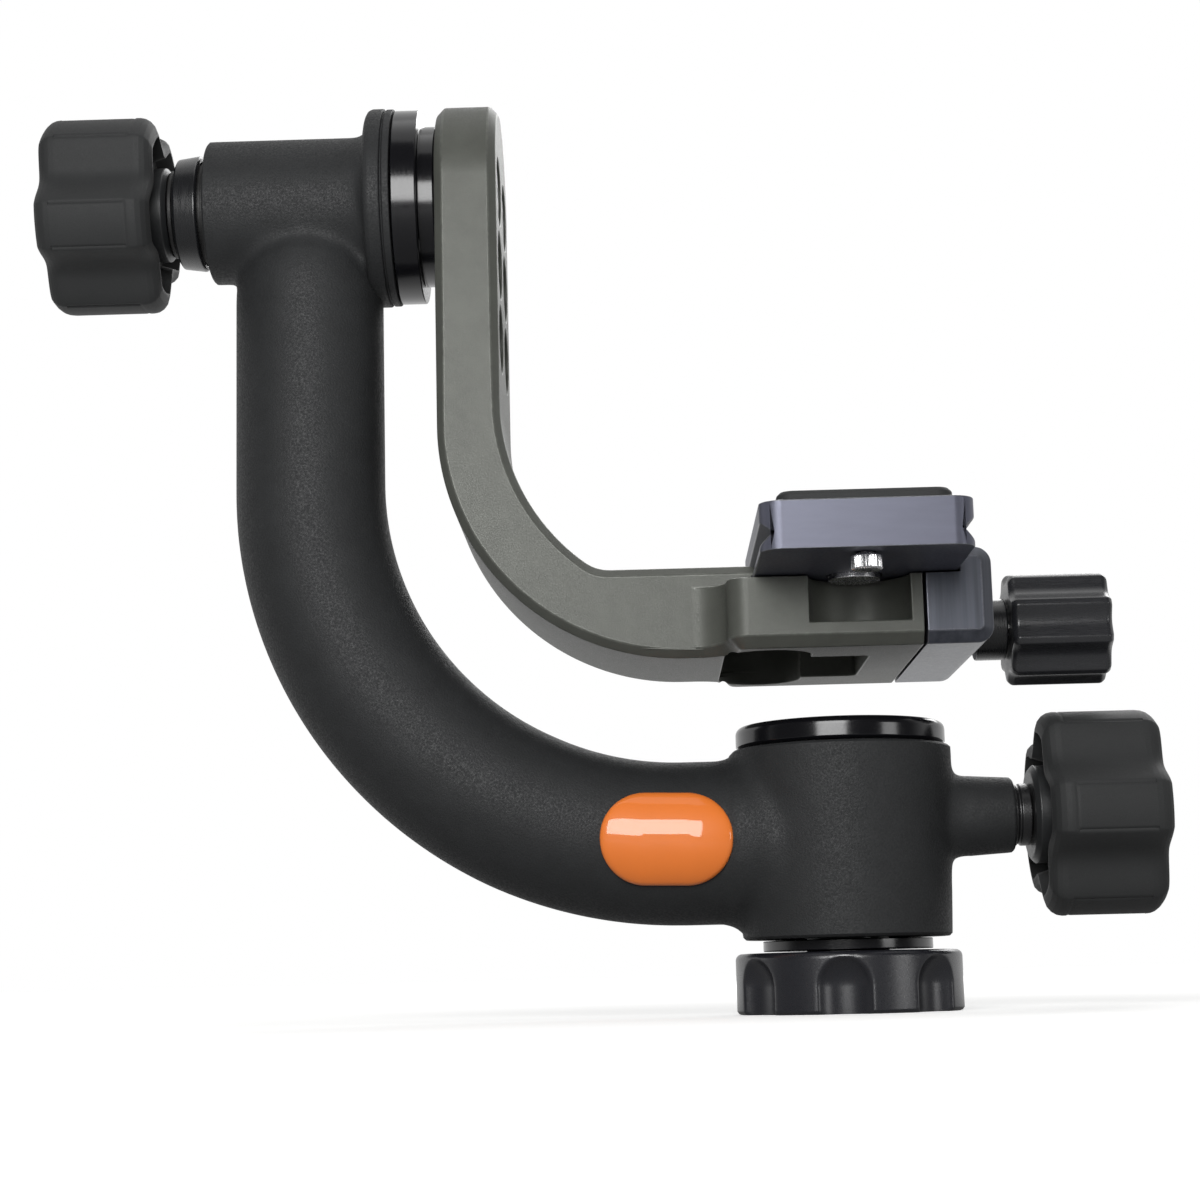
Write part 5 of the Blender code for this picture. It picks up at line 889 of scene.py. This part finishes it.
middle_y, half_long = (plate_front + plate_back) / 2, (plate_back - plate_front) / 2
trim = rounded_box(clamp_x, middle_y, plate_half + 0.05 * mm, half_long - 0.05 * mm, 4.0 * mm, 14)
combined(plate, block("plate_trim", trim, "Z", plate_low - far, plate_top + far), "INTERSECT")
stop_y, camera_y = -52.0 * mm, -27.6 * mm
holes = [
    turned("stop_hole", [(plate_low - far, 0.3 * mm), (plate_low - far, 1.8 * mm), (86.7 * mm, 1.8 * mm), (86.7 * mm, 0.3 * mm)],
           centre=(clamp_x, stop_y, 0), ease=0.02 * mm, sides=32),
    turned("camera_hole", [(plate_low - far, 0.3 * mm), (plate_low - far, 5.2 * mm), (82.9 * mm, 5.2 * mm), (82.9 * mm, 3.4 * mm),
                           (plate_top + far, 3.4 * mm), (plate_top + far, 0.3 * mm)],
           centre=(clamp_x, camera_y, 0), ease=0.02 * mm, sides=48)]
combined(plate, together(holes), "DIFFERENCE")
blue_satin = finish_of("blue_black_satin", (0.118, 0.122, 0.160), 0.42, metallic=0.5, grain=0.1 * mm,
                       relief=0.0008 * mm, uneven=0.07, patch=1.5 * mm, rough_play=0.06, lines=(0.15, 0.15, 1))
# the plate's edges take the same paler colour: partly wear, partly a painted highlight
broken_edges(plate, 0.25 * mm, 2, 32.0, blue_satin, blue_black_wear_and_highlight)
place_piece(plate, None, "plate", "qr_plate")

# Plate pad: a thin sheet of ribbed black rubber laid on the plate, its top edge rounded, so
# that the camera or lens foot can't twist.
pad_top = 92.6 * mm
pad_outline = rounded_box(clamp_x, middle_y, 15.7 * mm, half_long - 3.0 * mm, 3.0 * mm, 12)
pad = block("ribbed_pad", pad_outline, "Z", plate_top + fit, pad_top, 0.0, 0.7 * mm)
pad_hole = turned("pad_hole", [(85.0 * mm, 0.3 * mm), (85.0 * mm, 3.4 * mm), (96.0 * mm, 3.4 * mm), (96.0 * mm, 0.3 * mm)],
                  centre=(clamp_x, camera_y, 0), ease=0.02 * mm, sides=48)
combined(pad, pad_hole, "DIFFERENCE")
rib_pitch, rib_deep = 1.6 * mm, 0.35 * mm
ribs = []
rib_y = plate_front + 7.0 * mm
while rib_y < plate_back - 7.0 * mm:
    if abs(rib_y - camera_y) > 5.0 * mm:
        groove = [(rib_y - 0.35 * mm, pad_top + far), (rib_y - 0.35 * mm, pad_top - rib_deep),
                  (rib_y + 0.35 * mm, pad_top - rib_deep), (rib_y + 0.35 * mm, pad_top + far)]
        ribs.append(drawn("rib_groove", [[(x, y, z) for y, z in groove] for x in (clamp_x - 12.5 * mm, clamp_x + 12.5 * mm)]))
    rib_y += rib_pitch
combined(pad, together(ribs), "DIFFERENCE")
broken_edges(pad, 0.12 * mm, 2, 32.0, rubber)
place_piece(pad, None, "plate", "qr_pad")

# Stop screw and camera screw: plated socket-head and slotted screws under the plate. The
# small one stops the plate from sliding out of the clamp.
stop_head_r, knurl_teeth, knurl_deep = 2.8 * mm, 32, 0.16 * mm


def knurled(turn, distance, radius, unused):
    """The head's radius, with fine teeth round its side."""
    tooth = 0.5 - 0.5 * math.cos(knurl_teeth * turn)
    return radius - (knurl_deep * tooth if radius > stop_head_r - 0.3 * mm else 0.0)


stop_screw = socket_screw("plate_stop_screw", [
    (78.2 * mm, 0.3 * mm), (78.2 * mm, 2.3 * mm), (78.4 * mm, stop_head_r), (80.9 * mm, stop_head_r), (81.1 * mm, 2.3 * mm),
    (81.1 * mm, 1.5 * mm), (86.4 * mm, 1.5 * mm), (86.4 * mm, 0.3 * mm)],
    (clamp_x, stop_y, 0), "Z", 77.0 * mm, 79.5 * mm, 2.5 * mm, sides=256, shape=knurled)
place_piece(stop_screw, plated_steel, "plate", "stop_screw")
camera_screw = turned("plate_camera_screw", [
    (80.4 * mm, 0.3 * mm), (80.4 * mm, 4.9 * mm), (82.6 * mm, 4.9 * mm), (82.6 * mm, 3.1 * mm), (plate_top + fit, 3.1 * mm), (plate_top + fit, 0.3 * mm)],
    centre=(clamp_x, camera_y, 0), ease=0.25 * mm, sides=72)
slit = [(clamp_x - 8 * mm, -0.6 * mm), (clamp_x + 8 * mm, -0.6 * mm), (clamp_x + 8 * mm, 0.6 * mm), (clamp_x - 8 * mm, 0.6 * mm)]
slit = [(x, camera_y + y) for x, y in slit]
combined(camera_screw, block("slit_cut", slit, "Z", 78.0 * mm, 81.3 * mm), "DIFFERENCE")
smoothed(camera_screw)
place_piece(camera_screw, plated_steel, "plate", "camera_screw")

# Studio: a pale floor and a white surround. A soft panel close in front to the left does most
# of the work, a small one far to the right, one above and one behind shape the rest.
bpy.ops.object.select_all(action="DESELECT")
bpy.ops.mesh.primitive_grid_add(x_subdivisions=8, y_subdivisions=8, size=30.0, location=(0, 0, 0))
floor = bpy.context.object
floor.name = "studio_floor"


def shows(nodes, links):
    """1 for rays that show the background: from the camera, off metal and through glass."""
    path = nodes.new("ShaderNodeLightPath")
    first = nodes.new("ShaderNodeMath")
    first.operation = "MAXIMUM"
    links.new(path.outputs["Is Glossy Ray"], first.inputs[0])
    links.new(path.outputs["Is Transmission Ray"], first.inputs[1])
    return path.outputs["Is Camera Ray"], first.outputs["Value"]


floor_look = bpy.data.materials.new("pale_floor")
floor_look.use_nodes = True
nodes, links = floor_look.node_tree.nodes, floor_look.node_tree.links
nodes.remove(nodes["Principled BSDF"])
from_camera, off_metal = shows(nodes, links)
matt = nodes.new("ShaderNodeBsdfDiffuse")
shade = nodes.new("ShaderNodeMix")
shade.data_type = "RGBA"
shade.inputs["A"].default_value = (0.22, 0.22, 0.22, 1)
shade.inputs["B"].default_value = (0.86, 0.86, 0.85, 1)
links.new(from_camera, shade.inputs["Factor"])
links.new(shade.outputs["Result"], matt.inputs["Color"])
glow = nodes.new("ShaderNodeEmission")
glow.inputs["Color"].default_value = (1.0, 1.0, 1.0, 1)
# the floor glows more further off, where the panels don't reach, so that it stays white
away = nodes.new("ShaderNodeVectorMath")
away.operation = "LENGTH"
links.new(nodes.new("ShaderNodeTexCoord").outputs["Object"], away.inputs[0])
fade = nodes.new("ShaderNodeMapRange")
fade.inputs["From Min"].default_value = 0.12
fade.inputs["From Max"].default_value = 0.7
fade.inputs["To Min"].default_value = 0.5
fade.inputs["To Max"].default_value = 1.0
links.new(away.outputs["Value"], fade.inputs["Value"])
# the table behind the object is the bright part that metal and undersides pick up
split = nodes.new("ShaderNodeSeparateXYZ")
links.new(nodes.new("ShaderNodeTexCoord").outputs["Object"], split.inputs["Vector"])
behind = nodes.new("ShaderNodeMapRange")
behind.interpolation_type = "SMOOTHSTEP"
behind.inputs["From Min"].default_value = -0.03
behind.inputs["From Max"].default_value = 0.16
behind.inputs["To Min"].default_value = 0.1
behind.inputs["To Max"].default_value = 1.0
links.new(split.outputs["Y"], behind.inputs["Value"])
share = nodes.new("ShaderNodeMath")
share.operation = "MULTIPLY_ADD"
share.inputs[1].default_value = 0.6
share.inputs[2].default_value = 0.25
links.new(off_metal, share.inputs[0])
bounce = nodes.new("ShaderNodeMath")
bounce.operation = "MULTIPLY"
links.new(share.outputs["Value"], bounce.inputs[0])
links.new(behind.outputs["Result"], bounce.inputs[1])
strength = nodes.new("ShaderNodeMix")
links.new(from_camera, strength.inputs["Factor"])
links.new(bounce.outputs["Value"], strength.inputs["A"])
links.new(fade.outputs["Result"], strength.inputs["B"])
links.new(strength.outputs["Result"], glow.inputs["Strength"])
both = nodes.new("ShaderNodeAddShader")
links.new(matt.outputs["BSDF"], both.inputs[0])
links.new(glow.outputs["Emission"], both.inputs[1])
links.new(both.outputs["Shader"], nodes["Material Output"].inputs["Surface"])
floor.data.materials.append(floor_look)

world = bpy.data.worlds.new("white_surround")
bpy.context.scene.world = world
world.use_nodes = True
nodes, links = world.node_tree.nodes, world.node_tree.links
from_camera, off_metal = shows(nodes, links)
surround = nodes["Background"]
surround.inputs["Color"].default_value = (1.0, 1.0, 1.0, 1)
# metal shows the white wall behind the object and a dim room in front of it
split = nodes.new("ShaderNodeSeparateXYZ")
links.new(nodes.new("ShaderNodeTexCoord").outputs["Generated"], split.inputs["Vector"])
wall = nodes.new("ShaderNodeMapRange")
wall.interpolation_type = "SMOOTHSTEP"
wall.inputs["From Min"].default_value = -0.25
wall.inputs["From Max"].default_value = 0.35
wall.inputs["To Min"].default_value = 0.07
wall.inputs["To Max"].default_value = 0.85
links.new(split.outputs["Y"], wall.inputs["Value"])
level = nodes.new("ShaderNodeMix")
level.inputs["A"].default_value = 0.13
links.new(off_metal, level.inputs["Factor"])
links.new(wall.outputs["Result"], level.inputs["B"])
full = nodes.new("ShaderNodeMath")
full.operation = "MAXIMUM"
links.new(level.outputs["Result"], full.inputs[0])
links.new(from_camera, full.inputs[1])
links.new(full.outputs["Value"], surround.inputs["Strength"])


def soft_panel(name, place, wide, tall, power):
    """A soft light panel that looks at the object from this place."""
    lamp = bpy.data.lights.new(name, "AREA")
    lamp.shape = "RECTANGLE"
    lamp.size, lamp.size_y, lamp.energy = wide, tall, power
    panel = bpy.data.objects.new(name, lamp)
    bpy.context.scene.collection.objects.link(panel)
    panel.location = place
    panel.rotation_euler = (Vector((-0.04, 0.0, 0.09)) - panel.location).to_track_quat("-Z", "Y").to_euler()


soft_panel("front_panel", (-0.12, -0.50, 0.20), 0.3, 0.25, 2.1)
soft_panel("right_panel", (1.3, -1.05, 0.15), 0.5, 0.5, 3.0)
soft_panel("top_panel", (0.1, -0.1, 2.0), 1.6, 1.4, 5.0)
soft_panel("back_panel", (0.6, 1.7, 1.3), 1.4, 1.1, 16.0)

lens = bpy.data.cameras.new("photo_view")
camera = bpy.data.objects.new("photo_view", lens)
bpy.context.scene.collection.objects.link(camera)
lens.lens, lens.sensor_width = 70.5, 36.0
lens.clip_start, lens.clip_end = 0.02, 20.0
right, up, ahead = (0.9995, 0.02037, -0.02418), (0.0271, -0.15826, 0.98703), (-0.01628, 0.98719, 0.15873)
spot = (-0.03913, -0.46487, 0.00779)
camera.matrix_world = Matrix([(right[n], up[n], -ahead[n], spot[n]) for n in range(3)] + [(0, 0, 0, 1)])
bpy.context.scene.camera = camera
bpy.context.scene.view_settings.view_transform = "Standard"
